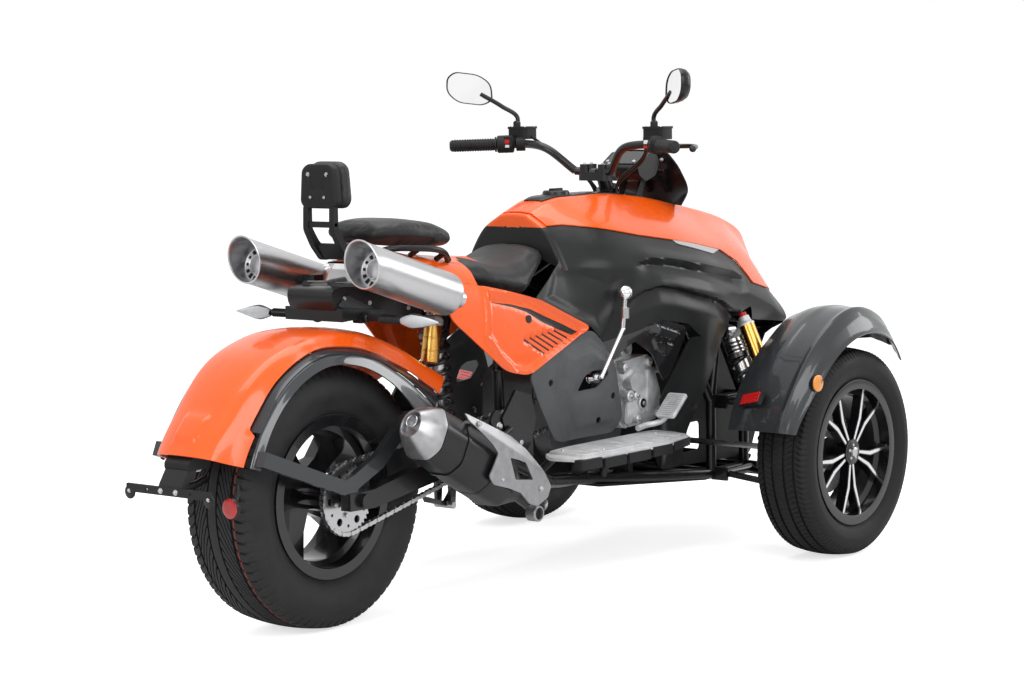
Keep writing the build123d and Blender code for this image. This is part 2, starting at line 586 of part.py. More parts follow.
def chain_outline(offset):
    """The chain's loop in X and Z, moved outwards by the offset."""
    big, small = SPROCKET_RADIUS + offset, DRIVE_RADIUS + offset
    up, down = tilt + radians(90) - lean, tilt - radians(90) + lean
    big_up = (big * cos(up), AXLE_Z + big * sin(up))
    big_down = (big * cos(down), AXLE_Z + big * sin(down))
    small_up = (DRIVE_X + small * cos(up), DRIVE_Z + small * sin(up))
    small_down = (DRIVE_X + small * cos(down), DRIVE_Z + small * sin(down))
    back = (-big * cos(tilt), AXLE_Z - big * sin(tilt))
    front = (DRIVE_X + small * cos(tilt), DRIVE_Z + small * sin(tilt))
    return make_face([
        Line(small_up, big_up), ThreePointArc(big_up, back, big_down),
        Line(big_down, small_down), ThreePointArc(small_down, front, small_up),
    ])


chain_face = chain_outline(CHAIN_DEPTH / 2) - chain_outline(-CHAIN_DEPTH / 2)
chain = extrude(Plane.XZ.offset(-CHAIN_Y - CHAIN_WIDTH / 2) * chain_face, amount=CHAIN_WIDTH)

SHOCK_TOP, SHOCK_FOOT = Vector(470, 0, 728), Vector(512, 0, 352)
shock_line = (SHOCK_FOOT - SHOCK_TOP).normalized()


def coil_shock(top, foot, coil_radius):
    """Eye, damper body, coil over its seats, shaft and lower eye."""
    line = (foot - top).normalized()
    length = (foot - top).length

    def at(share):
        return tuple(top + line * (length * share))

    shape = rod(at(0), at(1), coil_radius * 0.3)
    shape += rod(at(0.06), at(0.2), coil_radius * 0.72) + rod(at(0.14), at(0.2), coil_radius * 1.06)
    shape += rod(at(0.2), at(0.78), coil_radius) + rod(at(0.78), at(0.84), coil_radius * 1.04)
    return shape


rear_shock = coil_shock(SHOCK_TOP, SHOCK_FOOT, 38)
rear_shock += rod((470, -16, 728), (470, 16, 728), 17) + rod((512, -16, 352), (512, 16, 352), 17)
rear_shock += rod((408, -58, 690), (392, -58, 596), 23) + rod((412, -58, 712), (408, -58, 690), 18)
rear_shock += rod((408, -58, 700), (468, 0, 704), 9)
linkage = side_prism([(494, 352), (512, 372), (530, 352), (516, 214), (500, 214)], -28, -18)
linkage = both(linkage) + rod((512, -28, 352), (512, 28, 352), 8) + rod((508, -28, 222), (508, 28, 222), 9)
linkage += side_prism([(500, 230), (520, 214), (440, 236), (432, 252)], -12, 12)
linkage += rod((508, 0, 222), (602, 0, 322), 9) + rod((430, 0, 380), (504, 0, 350), 12)
rear_shock = rear_shock + linkage - swingarm

# ---------------------------------------------------------------- engine
engine = side_prism([(800, 330), (800, 520), (880, 560), (1010, 600), (1120, 560), (1140, 420), (1090, 300), (860, 290)], -112, 112)
crank = side_prism([(935, 452), (952, 530), (1000, 588), (1060, 598), (1112, 556), (1124, 470), (1100, 400), (1040, 372), (965, 385)], -196, -112)
crank += rod((1060, -196, 470), (1060, -216, 470), 52) + rod((985, -196, 540), (985, -214, 540), 26)
cover_left = side_prism([(860, 430), (900, 540), (1000, 588), (1090, 560), (1124, 470), (1090, 390), (930, 360)], 112, 190)
cover_left += rod((1010, 190, 470), (1010, 204, 470), 60)
engine = engine + crank + cover_left
lower_silencer += header - engine

# ---------------------------------------------------------------- frame
head = column_axis * Pos(0, 0, 560) * Cylinder(27, 110, align=(Align.CENTER, Align.CENTER, Align.MIN))
head_bore = column_axis * Cylinder(16 + RUNNING_FIT, 2000)


def on_column(height, y=0):
    """A point beside the steering column, at a height along it."""
    s = radians(STEER_RAKE)
    return (FOOT_X - height * sin(s), y, FOOT_Z + height * cos(s))


TOWER = (WHEELBASE, 158, 606)
rail_paths = [
    [(64, 46, 806), (420, 76, 780), (640, 92, 690), (760, 92, 690), on_column(600, 34)],
    [on_column(570, 34), (1330, 110, 690), (SUB_BACK, SUB_Y, SUB_HIGH), (SUB_BACK, SUB_Y, SUB_LOW)],
    [(640, 92, 690), (600, 104, 560), (610, 104, 336), RAIL_KNEE, (SUB_BACK, SUB_Y, SUB_LOW), (SUB_FRONT, SUB_Y, SUB_LOW)],
    [(SUB_BACK, SUB_Y, SUB_HIGH), (SUB_FRONT, SUB_Y, SUB_HIGH), (SUB_FRONT, SUB_Y, SUB_LOW)],
    [(SUB_BACK, SUB_Y, SUB_HIGH), TOWER, (SUB_FRONT, SUB_Y, SUB_HIGH)],
    [TOWER, (1330, 110, 690)],
]
frame = head
for path in rail_paths:
    one = bent_rod(path, RAIL)
    frame += one + flipped(one)
for x, y, z in ((SUB_BACK, SUB_Y, SUB_LOW), (SUB_FRONT, SUB_Y, SUB_LOW), (SUB_FRONT, SUB_Y, SUB_HIGH), TOWER, (420, 76, 780), (610, 104, 336)):
    frame += rod((x, -y, z), (x, y, z), RAIL)
frame += rod((SWING_X, -ARM_Y - 22, SWING_Z), (SWING_X, ARM_Y + 22, SWING_Z), 12)
PIVOT_PLATE = [(505, 455), (560, 520), (622, 500), (640, 440), (620, 385), (560, 380), (520, 410)]
frame += both(side_prism(PIVOT_PLATE, ARM_Y + 19, ARM_Y + 27))
for x, y, z in ((900, 150, 249), (1080, 164, 232)):
    frame += both(block((x - 10, 112.2, z - 4), (x + 10, y, z + 85)))
for x, z in ((1330, 690), (640, 690)):
    frame += rod((x, -300, z), (x, 300, z), 10) & body_inside
frame += rod((452, -80, 758), (452, 80, 758), 10) + both(block((452, 17.2, 712), (488, 23, 766)))
UNDERTAIL = [(40, 760), (200, 746), (200, 736), (40, 728)]
frame += side_prism(UNDERTAIL, -92, 92) + both(block((112, 40, 746), (132, 54, 806)))
frame -= head_bore
rear_shock -= frame

# ---------------------------------------------------------------- wishbones and front shocks
BUSH_RADIUS, BUSH_FROM, BUSH_TO = 13, WHEELBASE - 70, WHEELBASE + 70
BUSH_Y = SUB_Y + 34
JOINT_RADIUS, JOINT_HALF = 20, 12
SHOCK_EYE_Y = 372


def wishbone(z_in, z_out, bush_y):
    arm = rod((BUSH_FROM, bush_y, z_in), (BUSH_TO, bush_y, z_in), BUSH_RADIUS)
    for x, side in ((BUSH_FROM + 12, -1), (BUSH_TO - 12, 1)):
        arm += rod((x, bush_y, z_in), (WHEELBASE + side * 8, KINGPIN_Y - 4, z_out), 9)
    arm += Pos(WHEELBASE, KINGPIN_Y, z_out) * Cylinder(JOINT_RADIUS, 2 * JOINT_HALF)
    return arm - Pos(WHEELBASE, KINGPIN_Y, z_out) * Cylinder(PIN_RADIUS + RUNNING_FIT, 60)


low_arm = wishbone(SUB_LOW, LOWER_JOINT_Z, BUSH_Y)
share = (SHOCK_EYE_Y - BUSH_Y) / (KINGPIN_Y - BUSH_Y)
eye_z = SUB_LOW + (LOWER_JOINT_Z - SUB_LOW) * share + 26
low_arm += block((WHEELBASE - 34, SHOCK_EYE_Y - 14, eye_z - 32), (WHEELBASE + 34, SHOCK_EYE_Y + 14, eye_z - 20))
for side in (-1, 1):
    low_arm += block((WHEELBASE + side * 27 - 5, SHOCK_EYE_Y - 14, eye_z - 30), (WHEELBASE + side * 27 + 5, SHOCK_EYE_Y + 14, eye_z + 14))
wishbones = pair(Compound([low_arm, wishbone(SUB_HIGH, UPPER_JOINT_Z, BUSH_Y)]))

for x in (BUSH_FROM - 5, BUSH_TO + 5):
    for z in (SUB_LOW, SUB_HIGH):
        frame += both(block((x - 5, SUB_Y, z - 18), (x + 5, BUSH_Y + 16, z + 18)))

shock_top, shock_foot = Vector(WHEELBASE, 196, 590), Vector(WHEELBASE, SHOCK_EYE_Y, eye_z)
front_shock = coil_shock(shock_top, shock_foot, 32)
front_shock += rod((WHEELBASE - 22, SHOCK_EYE_Y, eye_z), (WHEELBASE + 22, SHOCK_EYE_Y, eye_z), 13)
front_shock += rod((WHEELBASE - 21, 196, 590), (WHEELBASE + 21, 196, 590), 15)
slide = (shock_foot - shock_top).normalized()
side_way = Vector(0, slide.Z * -1, slide.Y)
can_top = shock_top + side_way * 62 + slide * 8
front_shock += rod(tuple(can_top), tuple(can_top + slide * 105), 22) + rod(tuple(can_top - slide * 22), tuple(can_top), 17)
front_shock += rod(tuple(can_top - slide * 6), tuple(shock_top + slide * 30), 9)
front_shocks = pair(front_shock)
for x in (WHEELBASE - 26, WHEELBASE + 26):
    frame += both(block((x - 5, 160, 572), (x + 5, 212, 612)))

# ---------------------------------------------------------------- knuckles
DISC_PLANE = WHEEL_Y + DISC_Y
upright = block((WHEELBASE - 20, KINGPIN_Y - 13, LOWER_JOINT_Z + JOINT_HALF + FACE_GAP), (WHEELBASE + 20, KINGPIN_Y + 15, UPPER_JOINT_Z - JOINT_HALF - FACE_GAP))
knuckle = upright + rod((WHEELBASE, KINGPIN_Y, LOWER_JOINT_Z - 14), (WHEELBASE, KINGPIN_Y, UPPER_JOINT_Z + 14), PIN_RADIUS)
knuckle += rod((WHEELBASE, KINGPIN_Y, FRONT_TYRE_RADIUS), (WHEELBASE, WHEEL_Y - 22 - 5, FRONT_TYRE_RADIUS), 22)
knuckle += rod((WHEELBASE, KINGPIN_Y, FRONT_TYRE_RADIUS), (WHEELBASE, WHEEL_Y + SPOKE_OUT - 2, FRONT_TYRE_RADIUS), SPINDLE_RADIUS)
ARM_Z = TIE_Z - 8
knuckle += block((TIE_X - 12, KINGPIN_Y - 12, ARM_Z - 12), (WHEELBASE, KINGPIN_Y + 4, ARM_Z))
knuckle += rod((TIE_X, KINGPIN_Y, ARM_Z - 6), (TIE_X, KINGPIN_Y, TIE_Z + 12), TIE_PIN_RADIUS)
knuckle += rod((TIE_X, KINGPIN_Y, ARM_Z - 12), (TIE_X, KINGPIN_Y, ARM_Z), 13)
caliper = block((WHEELBASE - 138, DISC_PLANE - 22, 232), (WHEELBASE - 74, DISC_PLANE + 24, 328))
caliper -= block((WHEELBASE - 129, DISC_PLANE - 7.5, 200), (WHEELBASE - 40, DISC_PLANE + 7.5, 400))
caliper += block((WHEELBASE - 90, KINGPIN_Y + 2, 272), (WHEELBASE - 10, KINGPIN_Y + 14, 308))
caliper += block((WHEELBASE - 90, KINGPIN_Y + 2, 272), (WHEELBASE - 76, DISC_PLANE - 8, 308))
knuckle += caliper
fender_arm = bent_rod([
    (WHEELBASE + 14, KINGPIN_Y + 1, 322), (WHEELBASE + 72, KINGPIN_Y - 4, 384),
    (WHEELBASE + 88, KINGPIN_Y - 8, 470), (WHEELBASE + 80, KINGPIN_Y - 8, 634),
], 8)
knuckle += fender_arm

# ---------------------------------------------------------------- front fenders
# Angle, then (y, radius) of the inner edge, the inner crest, the ridge and the outer lip.
FRONT_FENDER = [
    (54, (440, 338), (515, 352), (598, 330), (640, 288)), (72, (422, 372), (512, 386), (602, 372), (646, 314)),
    (92, (416, 358), (508, 386), (606, 384), (648, 322)), (115, (408, 322), (500, 366), (606, 370), (646, 318)),
    (140, (398, 306), (486, 344), (596, 350), (634, 308)), (165, (396, 306), (474, 326), (570, 332), (606, 312)),
]
fender_rows = []
for angle, *ring in FRONT_FENDER:
    under = [(y * 0.985 + 7, r - FENDER_WALL) for y, r in reversed(ring)]
    fender_rows.append((angle, list(ring) + under))
front_fender = radial_loft(WHEELBASE, FRONT_TYRE_RADIUS, fender_rows)
knuckle -= front_fender
amber = rod((1262, 632, 492), (1262, 640, 492), 24) + rod((1262, 600, 492), (1262, 634, 492), 7)
front_fender += amber

# ---------------------------------------------------------------- steering column, handlebar and mirrors
column = column_axis * Cylinder(16, 780, align=(Align.CENTER, Align.CENTER, Align.MIN))
collar = column_axis * Pos(0, 0, 674) * Cylinder(30, 20, align=(Align.CENTER, Align.CENTER, Align.MIN))
pitman_arm = column_axis * (Pos(-PITMAN / 2, 0, 4) * Box(PITMAN + 24, 44, 8) + Cylinder(24, 16, align=(Align.CENTER, Align.CENTER, Align.MIN)))
BAR = [(1168, 0, 1036), (1150, 60, 1040), (1110, 135, 1104), (1113, 218, 1114), (1000, 376, 1110)]
bar_right = [(x, -y, z) for x, y, z in BAR]
handlebar = column + collar + pitman_arm
handlebar += column_axis * Pos(0, 0, 730) * Box(84, 120, 50, align=(Align.CENTER, Align.CENTER, Align.MIN))
handlebar += tube(BAR, 11, 28) + tube(bar_right, 11, 28)
grip_way = (Vector(*BAR[4]) - Vector(*BAR[3])).normalized()
grip_from, pod_from = Vector(*BAR[4]) - grip_way * 128, Vector(*BAR[3]) + grip_way * 6


def on_hand(point, hand):
    """A point of the left side, or its mirror image on the right."""
    return (point.X, hand * point.Y, point.Z)


for hand in (1, -1):
    handlebar += rod(on_hand(grip_from, hand), on_hand(Vector(*BAR[4]), hand), 17)
    handlebar += rod(on_hand(pod_from, hand), on_hand(pod_from + grip_way * 46, hand), 23)
    lever = [pod_from + Vector(38, 10, -4), pod_from + Vector(62, 30, -6), Vector(1062, 388, 1104)]
    handlebar += bent_rod([on_hand(v, hand) for v in lever], 6)
    handlebar += bent_rod([on_hand(pod_from + Vector(0, 10, -4), hand), on_hand(lever[0], hand)], 9)
    handlebar += block((1106, min(hand * 196, hand * 262), 1128), (1160, max(hand * 196, hand * 262), 1160))
    handlebar += rod((1113, hand * 222, 1112), (1113, hand * 222, 1140), 12)

mirror_glass = Vector(1046, 340, 1264)
stem = bent_rod([(1113, 230, 1160.8), (1114, 228, 1182), (1095, 268, 1216), (1066, 318, 1250)], 6)
mirror_plate = Plane(origin=mirror_glass, x_dir=(-0.58, 0.80, 0.10), z_dir=(0.80, 0.60, -0.02))
outline = [(-66, -26), (-58, 20), (-20, 42), (46, 44), (66, 26), (64, -14), (30, -40), (-40, -42)]
housing = mirror_plate * extrude(make_face(Polyline(*outline, close=True)), amount=34, taper=16)
mirrors = pair(housing + stem)

# ---------------------------------------------------------------- tie rods
eye_left = Pos(TIE_X, KINGPIN_Y, TIE_Z) * Cylinder(13, 14)
tie_rod = eye_left + rod((TIE_X, KINGPIN_Y - 8, TIE_Z), (TIE_X, TIE_INNER_Y + 8, TIE_Z), 8)
tie_rod += Pos(TIE_X, TIE_INNER_Y, TIE_Z) * Cylinder(12, 14)
tie_rod -= Pos(TIE_X, KINGPIN_Y, TIE_Z) * Cylinder(TIE_PIN_RADIUS + RUNNING_FIT, 40)
tie_rod -= Pos(TIE_X, TIE_INNER_Y, TIE_Z) * Cylinder(6, 40)

# ---------------------------------------------------------------- footboards, pedal and lever
board_plan = [(556, 300), (580, 392), (930, 402), (1060, 372), (1096, 330), (1096, 262), (1040, 236), (700, 236), (600, 252)]
footboard = plan_prism(board_plan, 350, 364) + plan_prism([(620, 250), (640, 372), (900, 380), (1040, 352), (1040, 250)], 364, 372)
footboards = pair(footboard)
for x, y, z in ((720, 131, 282), (960, 155, 243)):
    frame += both(rod((x, y, z), (x, 196, 338), 11) + block((x - 16, 180, 332), (x + 16, 340, 350)))

PEDAL = Plane(origin=(1062, -318, 430), x_dir=(0.86, 0.1, 0.44), z_dir=(-0.45, 0, 0.89))
brake_pedal = PEDAL * Box(100, 62, 9)
brake_pedal += bent_rod([(1062, -312, 424), (1050, -286, 392), (1012, -262, 384), (980, -262, 380.4)], 8)
gear_lever = bent_rod([(856, -216, 520), (856, -240, 527), (928, -256, 644), (934, -260, 720)], 6)
gear_lever += Pos(935, -260, 738) * Sphere(19) + rod((934, -260, 672), (934, -260, 700), 11)
gear_lever += rod((856, -200, 520), (856, -226, 522), 13)
gear_lever -= lower_covers

# ---------------------------------------------------------------- the nodes
nodes = {
    "frame": frame, "engine": engine, "lower_silencer": lower_silencer, "upper_silencers": upper_silencers,
    "swingarm": swingarm, "fender_stays": fender_stays, "rear_fender": rear_fender,
    "fender_arches": fender_arches, "rear_shock": rear_shock, "chain": chain, "tail_cowl": tail_cowl,
    "tail_lamp": tail_lamp, "passenger_seat": passenger_seat, "rider_seat": rider_seat, "grab_rail": grab_rail,
    "backrest_bracket": backrest, "backrest_pad": backrest_pad, "top_cover": top_cover, "console": console,
    "body_side_left": flank_left, "body_side_right": flank_right, "side_covers": side_covers,
    "lower_covers": lower_covers, "shrouds": shrouds, "leg_panels": leg_panels, "nose": nose,
    "headlights": headlights, "belly_pan": belly_pan, "footboards": footboards, "brake_pedal": brake_pedal,
    "gear_lever": gear_lever, "wishbones": wishbones, "front_shocks": front_shocks,
    "plate_bracket": plate_bracket, "rear_signals": rear_signals, "rear_tyre": rear_tyre, "rear_rim": rear_rim,
    "rear_sprocket": rear_sprocket, "rear_disc": rear_disc, "handlebar": handlebar, "mirrors": mirrors,
}
for name, shape in {
    "knuckle": knuckle, "front_fender": front_fender, "front_tyre": front_tyre_left, "front_rim": front_rim_left,
    "front_disc": front_disc_left, "tie_rod": tie_rod,
}.items():
    nodes[name + "_left"] = shape
    nodes[name + "_right"] = flipped(shape)

os.makedirs("parts", exist_ok=True)
for name, shape in nodes.items():
    placed = Pos(-ORIGIN_X, 0, 0) * Compound([s for s in shape.solids()])
    export_step(placed, f"parts/{name}.step")
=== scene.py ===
"""A three-wheeled motorcycle: its surfaces, finishes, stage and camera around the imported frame."""

import bmesh
import bpy
import numpy as np
from mathutils import Matrix, Vector
from mathutils.geometry import delaunay_2d_cdt


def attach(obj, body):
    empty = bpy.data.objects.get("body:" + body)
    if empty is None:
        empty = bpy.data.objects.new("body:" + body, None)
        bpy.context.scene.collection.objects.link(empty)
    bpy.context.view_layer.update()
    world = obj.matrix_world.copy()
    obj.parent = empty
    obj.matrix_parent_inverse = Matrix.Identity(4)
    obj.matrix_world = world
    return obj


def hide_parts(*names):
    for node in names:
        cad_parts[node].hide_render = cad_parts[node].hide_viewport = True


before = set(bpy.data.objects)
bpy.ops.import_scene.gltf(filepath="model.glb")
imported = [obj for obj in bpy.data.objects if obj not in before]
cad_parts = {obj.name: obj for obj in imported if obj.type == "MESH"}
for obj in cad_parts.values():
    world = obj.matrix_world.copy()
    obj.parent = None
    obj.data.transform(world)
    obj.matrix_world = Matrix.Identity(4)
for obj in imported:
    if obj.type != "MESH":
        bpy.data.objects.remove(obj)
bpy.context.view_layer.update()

# Lengths below are in millimetres, with X forward from the rear axle, Y to the left and Z up.
ORIGIN_X = 691.0
MM = 0.001
WHEELBASE = 1500.0
FRONT_WHEEL_Y = 536.5
FRONT_AXLE_Z, REAR_AXLE_Z = 280.0, 317.0
AHEAD, BACK, LEFT, RIGHT, UP = (1, 0, 0), (-1, 0, 0), (0, 1, 0), (0, -1, 0), (0, 0, 1)
HANDS = (("left", 1), ("right", -1))


def to_frame(points):
    """Moves millimetre points to the frame's origin and metres."""
    return (np.asarray(points, float) - [ORIGIN_X, 0.0, 0.0]) * MM


# Camera, lights and stage
CAMERA_AT = (-4527.6, -4282.0, 1302.6)
CAMERA_YAW, CAMERA_PITCH, CAMERA_ROLL = 0.678, -0.103, -0.017
CAMERA_FOCUS, PICTURE_WIDE = 2638.5, 1024  # in pixels
SENSOR = 36.0
WORLD_LEVEL, FLOOR_GLOW = 0.55, 0.66


def aim(yaw, pitch, roll):
    """The matrix of an eye that looks along yaw and pitch: its right, up and backward directions."""
    ahead = np.array([np.cos(pitch) * np.cos(yaw), np.cos(pitch) * np.sin(yaw), np.sin(pitch)])
    right = np.cross(ahead, UP)
    right /= np.linalg.norm(right)
    up = np.cross(right, ahead)
    tilt_right = np.cos(roll) * right + np.sin(roll) * up
    tilt_up = -np.sin(roll) * right + np.cos(roll) * up
    return Matrix(np.array([tilt_right, tilt_up, -ahead]).T.tolist()).to_4x4()


def placed(name, data, at, *turn):
    thing = bpy.data.objects.new(name, data)
    bpy.context.scene.collection.objects.link(thing)
    thing.matrix_world = Matrix.Translation(at) @ aim(*turn)
    return thing


camera = bpy.data.cameras.new("camera")
camera.sensor_width, camera.clip_end = SENSOR, 100.0
camera.lens = SENSOR * CAMERA_FOCUS / PICTURE_WIDE
eye_at = to_frame(CAMERA_AT)
bpy.context.scene.camera = placed("camera", camera, eye_at, CAMERA_YAW, CAMERA_PITCH, CAMERA_ROLL)
bpy.context.scene.view_settings.view_transform = "Standard"

# Wide soft boxes: place, point aimed at, size and power.
for name, at, towards, size, watts in (
    ("top_box", (-0.2, 0.0, 4.2), (-0.2, 0.01, 0.0), (4.5, 3.0), 120),
    ("near_box", (-1.6, -4.6, 2.6), (0.0, 0.0, 0.5), (3.6, 2.0), 95),
    ("tail_box", (-4.8, -0.6, 2.0), (-0.6, 0.0, 0.6), (2.2, 1.8), 55),
    ("nose_box", (4.2, -2.6, 2.0), (0.6, 0.0, 0.5), (2.0, 1.8), 45),
):
    light = bpy.data.lights.new(name, "AREA")
    light.shape, light.energy = "RECTANGLE", watts
    light.size, light.size_y = size
    x, y, z = np.subtract(towards, at)
    placed(name, light, at, np.arctan2(y, x), np.arctan2(z, np.hypot(x, y)), 0.0)


def wire(tree, kinds, links):
    """Fills a shader tree with nodes of the given kinds and joins them: rows of (from, output, to, input)."""
    tree.nodes.clear()
    nodes = {label: tree.nodes.new(kind) for label, kind in kinds.items()}
    for out_label, out_socket, in_label, in_socket in links:
        tree.links.new(nodes[out_label].outputs[out_socket], nodes[in_label].inputs[in_socket])
    return nodes


def add_world():
    """White to the eye and to mirrors, and a plain level of light on everything else."""
    world = bpy.data.worlds.new("studio")
    bpy.context.scene.world = world
    world.use_nodes = True
    math, plain = "ShaderNodeMath", "ShaderNodeBackground"
    nodes = wire(world.node_tree, {
        "path": "ShaderNodeLightPath", "straight": math, "seen": math, "lit": plain, "white": plain,
        "pick": "ShaderNodeMixShader", "out": "ShaderNodeOutputWorld",
    }, [
        ("path", "Is Camera Ray", "straight", 0), ("path", "Is Transmission Ray", "straight", 1),
        ("straight", 0, "seen", 0), ("path", "Is Glossy Ray", "seen", 1), ("seen", 0, "pick", 0),
        ("lit", 0, "pick", 1), ("white", 0, "pick", 2), ("pick", 0, "out", "Surface"),
    ])
    nodes["straight"].operation = nodes["seen"].operation = "ADD"
    nodes["seen"].use_clamp = True
    for label, level in (("lit", WORLD_LEVEL), ("white", 1.0)):
        nodes[label].inputs["Strength"].default_value = level
        nodes[label].inputs["Color"].default_value = (1.0, 1.0, 1.0, 1.0)


def add_floor():
    """A wide sheet under the wheels, white to the eye apart from a soft shadow."""
    size = 30.0
    mesh = bpy.data.meshes.new("floor")
    mesh.from_pydata([(x * size, y * size, 0.0) for x, y in ((-1, -1), (1, -1), (1, 1), (-1, 1))], [], [(0, 1, 2, 3)])
    floor = bpy.data.objects.new("floor", mesh)
    bpy.context.scene.collection.objects.link(floor)
    floor.location.z = -0.001
    material = bpy.data.materials.new("floor_paper")
    material.use_nodes = True
    nodes = wire(material.node_tree, {
        "path": "ShaderNodeLightPath", "matte": "ShaderNodeBsdfDiffuse", "glow": "ShaderNodeEmission",
        "both": "ShaderNodeAddShader", "pick": "ShaderNodeMixShader", "out": "ShaderNodeOutputMaterial",
    }, [
        ("matte", 0, "both", 0), ("glow", 0, "both", 1), ("path", "Is Camera Ray", "pick", 0),
        ("matte", 0, "pick", 1), ("both", 0, "pick", 2), ("pick", 0, "out", "Surface"),
    ])
    nodes["matte"].inputs["Color"].default_value = (0.86, 0.86, 0.86, 1.0)
    nodes["glow"].inputs["Color"].default_value = (1.0, 1.0, 1.0, 1.0)
    nodes["glow"].inputs["Strength"].default_value = FLOOR_GLOW
    mesh.materials.append(material)


add_world()
add_floor()


# Finishes
class Finish:
    """A material with one Principled shader, and the patterns that its helpers hang on it."""

    def __init__(self, name, colour, rough, metal=0.0, stretch=(1.0, 1.0, 1.0), **sockets):
        self.material = bpy.data.materials.new(name)
        self.material.use_nodes = True
        self.tree, self.colour, self.rough = self.material.node_tree, colour, rough
        self.body = next(n for n in self.tree.nodes if n.type == "BSDF_PRINCIPLED")
        sockets.update({"Base Color": (*colour, 1.0), "Roughness": rough, "Metallic": metal})
        for socket, value in sockets.items():
            self.body.inputs[socket.replace("_", " ")].default_value = value
        self.material.diffuse_color = (*colour, 1.0)
        place = self.node("TexCoord")
        self.space = self.node("Mapping", Vector=place.outputs["Object"], Scale=stretch).outputs["Vector"]

    def node(self, kind, **inputs):
        """A shader node; an input is either a number or another node's output."""
        new = self.tree.nodes.new("ShaderNode" + kind)
        for socket, value in inputs.items():
            socket = new.inputs[socket.replace("_", " ")]
            if isinstance(value, bpy.types.NodeSocket):
                self.tree.links.new(value, socket)
            else:
                socket.default_value = value
        return new

    def cloud(self, scale, detail=3.0, roughness=0.6):
        return self.node("TexNoise", Vector=self.space, Scale=scale, Detail=detail, Roughness=roughness).outputs["Fac"]

    def cells(self, scale, feature="F1"):
        voronoi = self.node("TexVoronoi", Vector=self.space, Scale=scale)
        voronoi.feature = feature
        return voronoi.outputs["Distance"]

    def spread(self, value, low=0.0, high=1.0, start=0.3, end=0.7):
        """Stretches a pattern's start..end to low..high."""
        return self.node("MapRange", Value=value, From_Min=start, From_Max=end, To_Min=low, To_Max=high).outputs[0]

    def two_tone(self, value, dark, light):
        """Mixes the colour, scaled by dark and by light, along a pattern."""
        mix = self.tree.nodes.new("ShaderNodeMix")
        mix.data_type = "RGBA"
        for socket, share in (("A", dark), ("B", light)):
            tone = [min(1.0, c * share) for c in self.colour]
            mix.inputs[socket].default_value = (*tone, 1.0)
        self.tree.links.new(value, mix.inputs["Factor"])
        self.tree.links.new(mix.outputs["Result"], self.body.inputs["Base Color"])

    def sheen(self, value, low, high):
        """Roughness that follows a pattern between two shares of its own level."""
        level = self.spread(value, self.rough * low, min(1.0, self.rough * high))
        self.tree.links.new(level, self.body.inputs["Roughness"])

    def relief(self, value, depth, strength):
        """Bump of a depth in millimetres."""
        bump = self.node("Bump", Distance=depth * MM, Strength=strength, Height=value)
        self.tree.links.new(bump.outputs["Normal"], self.body.inputs["Normal"])
        return self.material


def paint(name, colour, rough, flake=0.06, coat=1.0, metal=0.0):
    """Sprayed paint under lacquer: slight flake in the colour, faint orange peel in the gloss."""
    f = Finish(name, colour, rough, metal, Coat_Weight=coat, Coat_Roughness=0.04, Specular_IOR_Level=0.35)
    f.two_tone(f.spread(f.cells(2600.0), 0.0, 1.0, 0.1, 0.6), 1 - flake, 1 + flake)
    f.sheen(f.cloud(7.0), 0.8, 1.25)
    return f.relief(f.cloud(160.0, 1.0), 0.02, 0.25)


def moulded(name, colour, rough, grain=1400.0, depth=0.05, coat=0.0):
    """Moulded plastic with a fine leathery grain and slightly uneven sheen."""
    f = Finish(name, colour, rough, Coat_Weight=coat, Coat_Roughness=0.12, Specular_IOR_Level=0.22)
    worn = f.cloud(9.0)
    f.two_tone(f.spread(worn), 0.85, 1.2)
    f.sheen(worn, 0.85, 1.15)
    return f.relief(f.cells(grain), depth, 0.35)


def brushed(name, colour, rough, stretch, depth=0.03, worn=0.82):
    """Metal with fine scratches along one direction."""
    f = Finish(name, colour, rough, 1.0, stretch)
    lines = f.cloud(1.0, 4.0, 0.7)
    f.two_tone(f.spread(lines), worn, 1.0)
    f.sheen(lines, 0.8, 1.2)
    return f.relief(lines, depth, 0.3)


def cast(name, colour, rough, metal=0.9, depth=0.22):
    """Sand-cast and bead-blasted metal: fine pits and a mottled tone."""
    f = Finish(name, colour, rough, metal)
    mottle = f.cloud(45.0)
    f.two_tone(f.spread(mottle), 0.78, 1.0)
    f.sheen(mottle, 0.85, 1.2)
    return f.relief(f.cloud(1500.0, 2.0), depth, 0.4)


def hide(name, colour, rough):
    """Grained vinyl: rounded cells with creases between them, with painted shade that darkens the creases and lightens
    the middles of the cells.
    """
    f = Finish(name, colour, rough, Sheen_Weight=0.06, Sheen_Roughness=0.5, Specular_IOR_Level=0.35)
    grain = f.cells(620.0, "SMOOTH_F1")
    # Painted shade: the colour is darker along the creases between the cells and lighter in their middles.
    f.two_tone(f.spread(grain, 0.0, 1.0, 0.1, 0.7), 1.25, 0.7)
    f.sheen(f.cloud(11.0), 0.85, 1.15)
    return f.relief(grain, 0.16, 0.6)


def rubber(name, colour, rough, grain=900.0):
    """Vulcanised rubber: dusty mottling and a fine pebble."""
    f = Finish(name, colour, rough, Specular_IOR_Level=0.22)
    dust = f.cloud(26.0, 5.0)
    f.two_tone(f.spread(dust), 0.8, 1.35)
    f.sheen(dust, 0.85, 1.1)
    return f.relief(f.cloud(grain, 2.0), 0.08, 0.4)


def lens(name, colour, rough, clear, prism):
    """Cast lens plastic, with small prisms behind it."""
    f = Finish(name, colour, rough, Transmission_Weight=clear, IOR=1.49, Coat_Weight=0.5)
    f.two_tone(f.spread(f.cloud(30.0)), 0.85, 1.0)
    return f.relief(f.cells(prism), 0.5, 0.8)


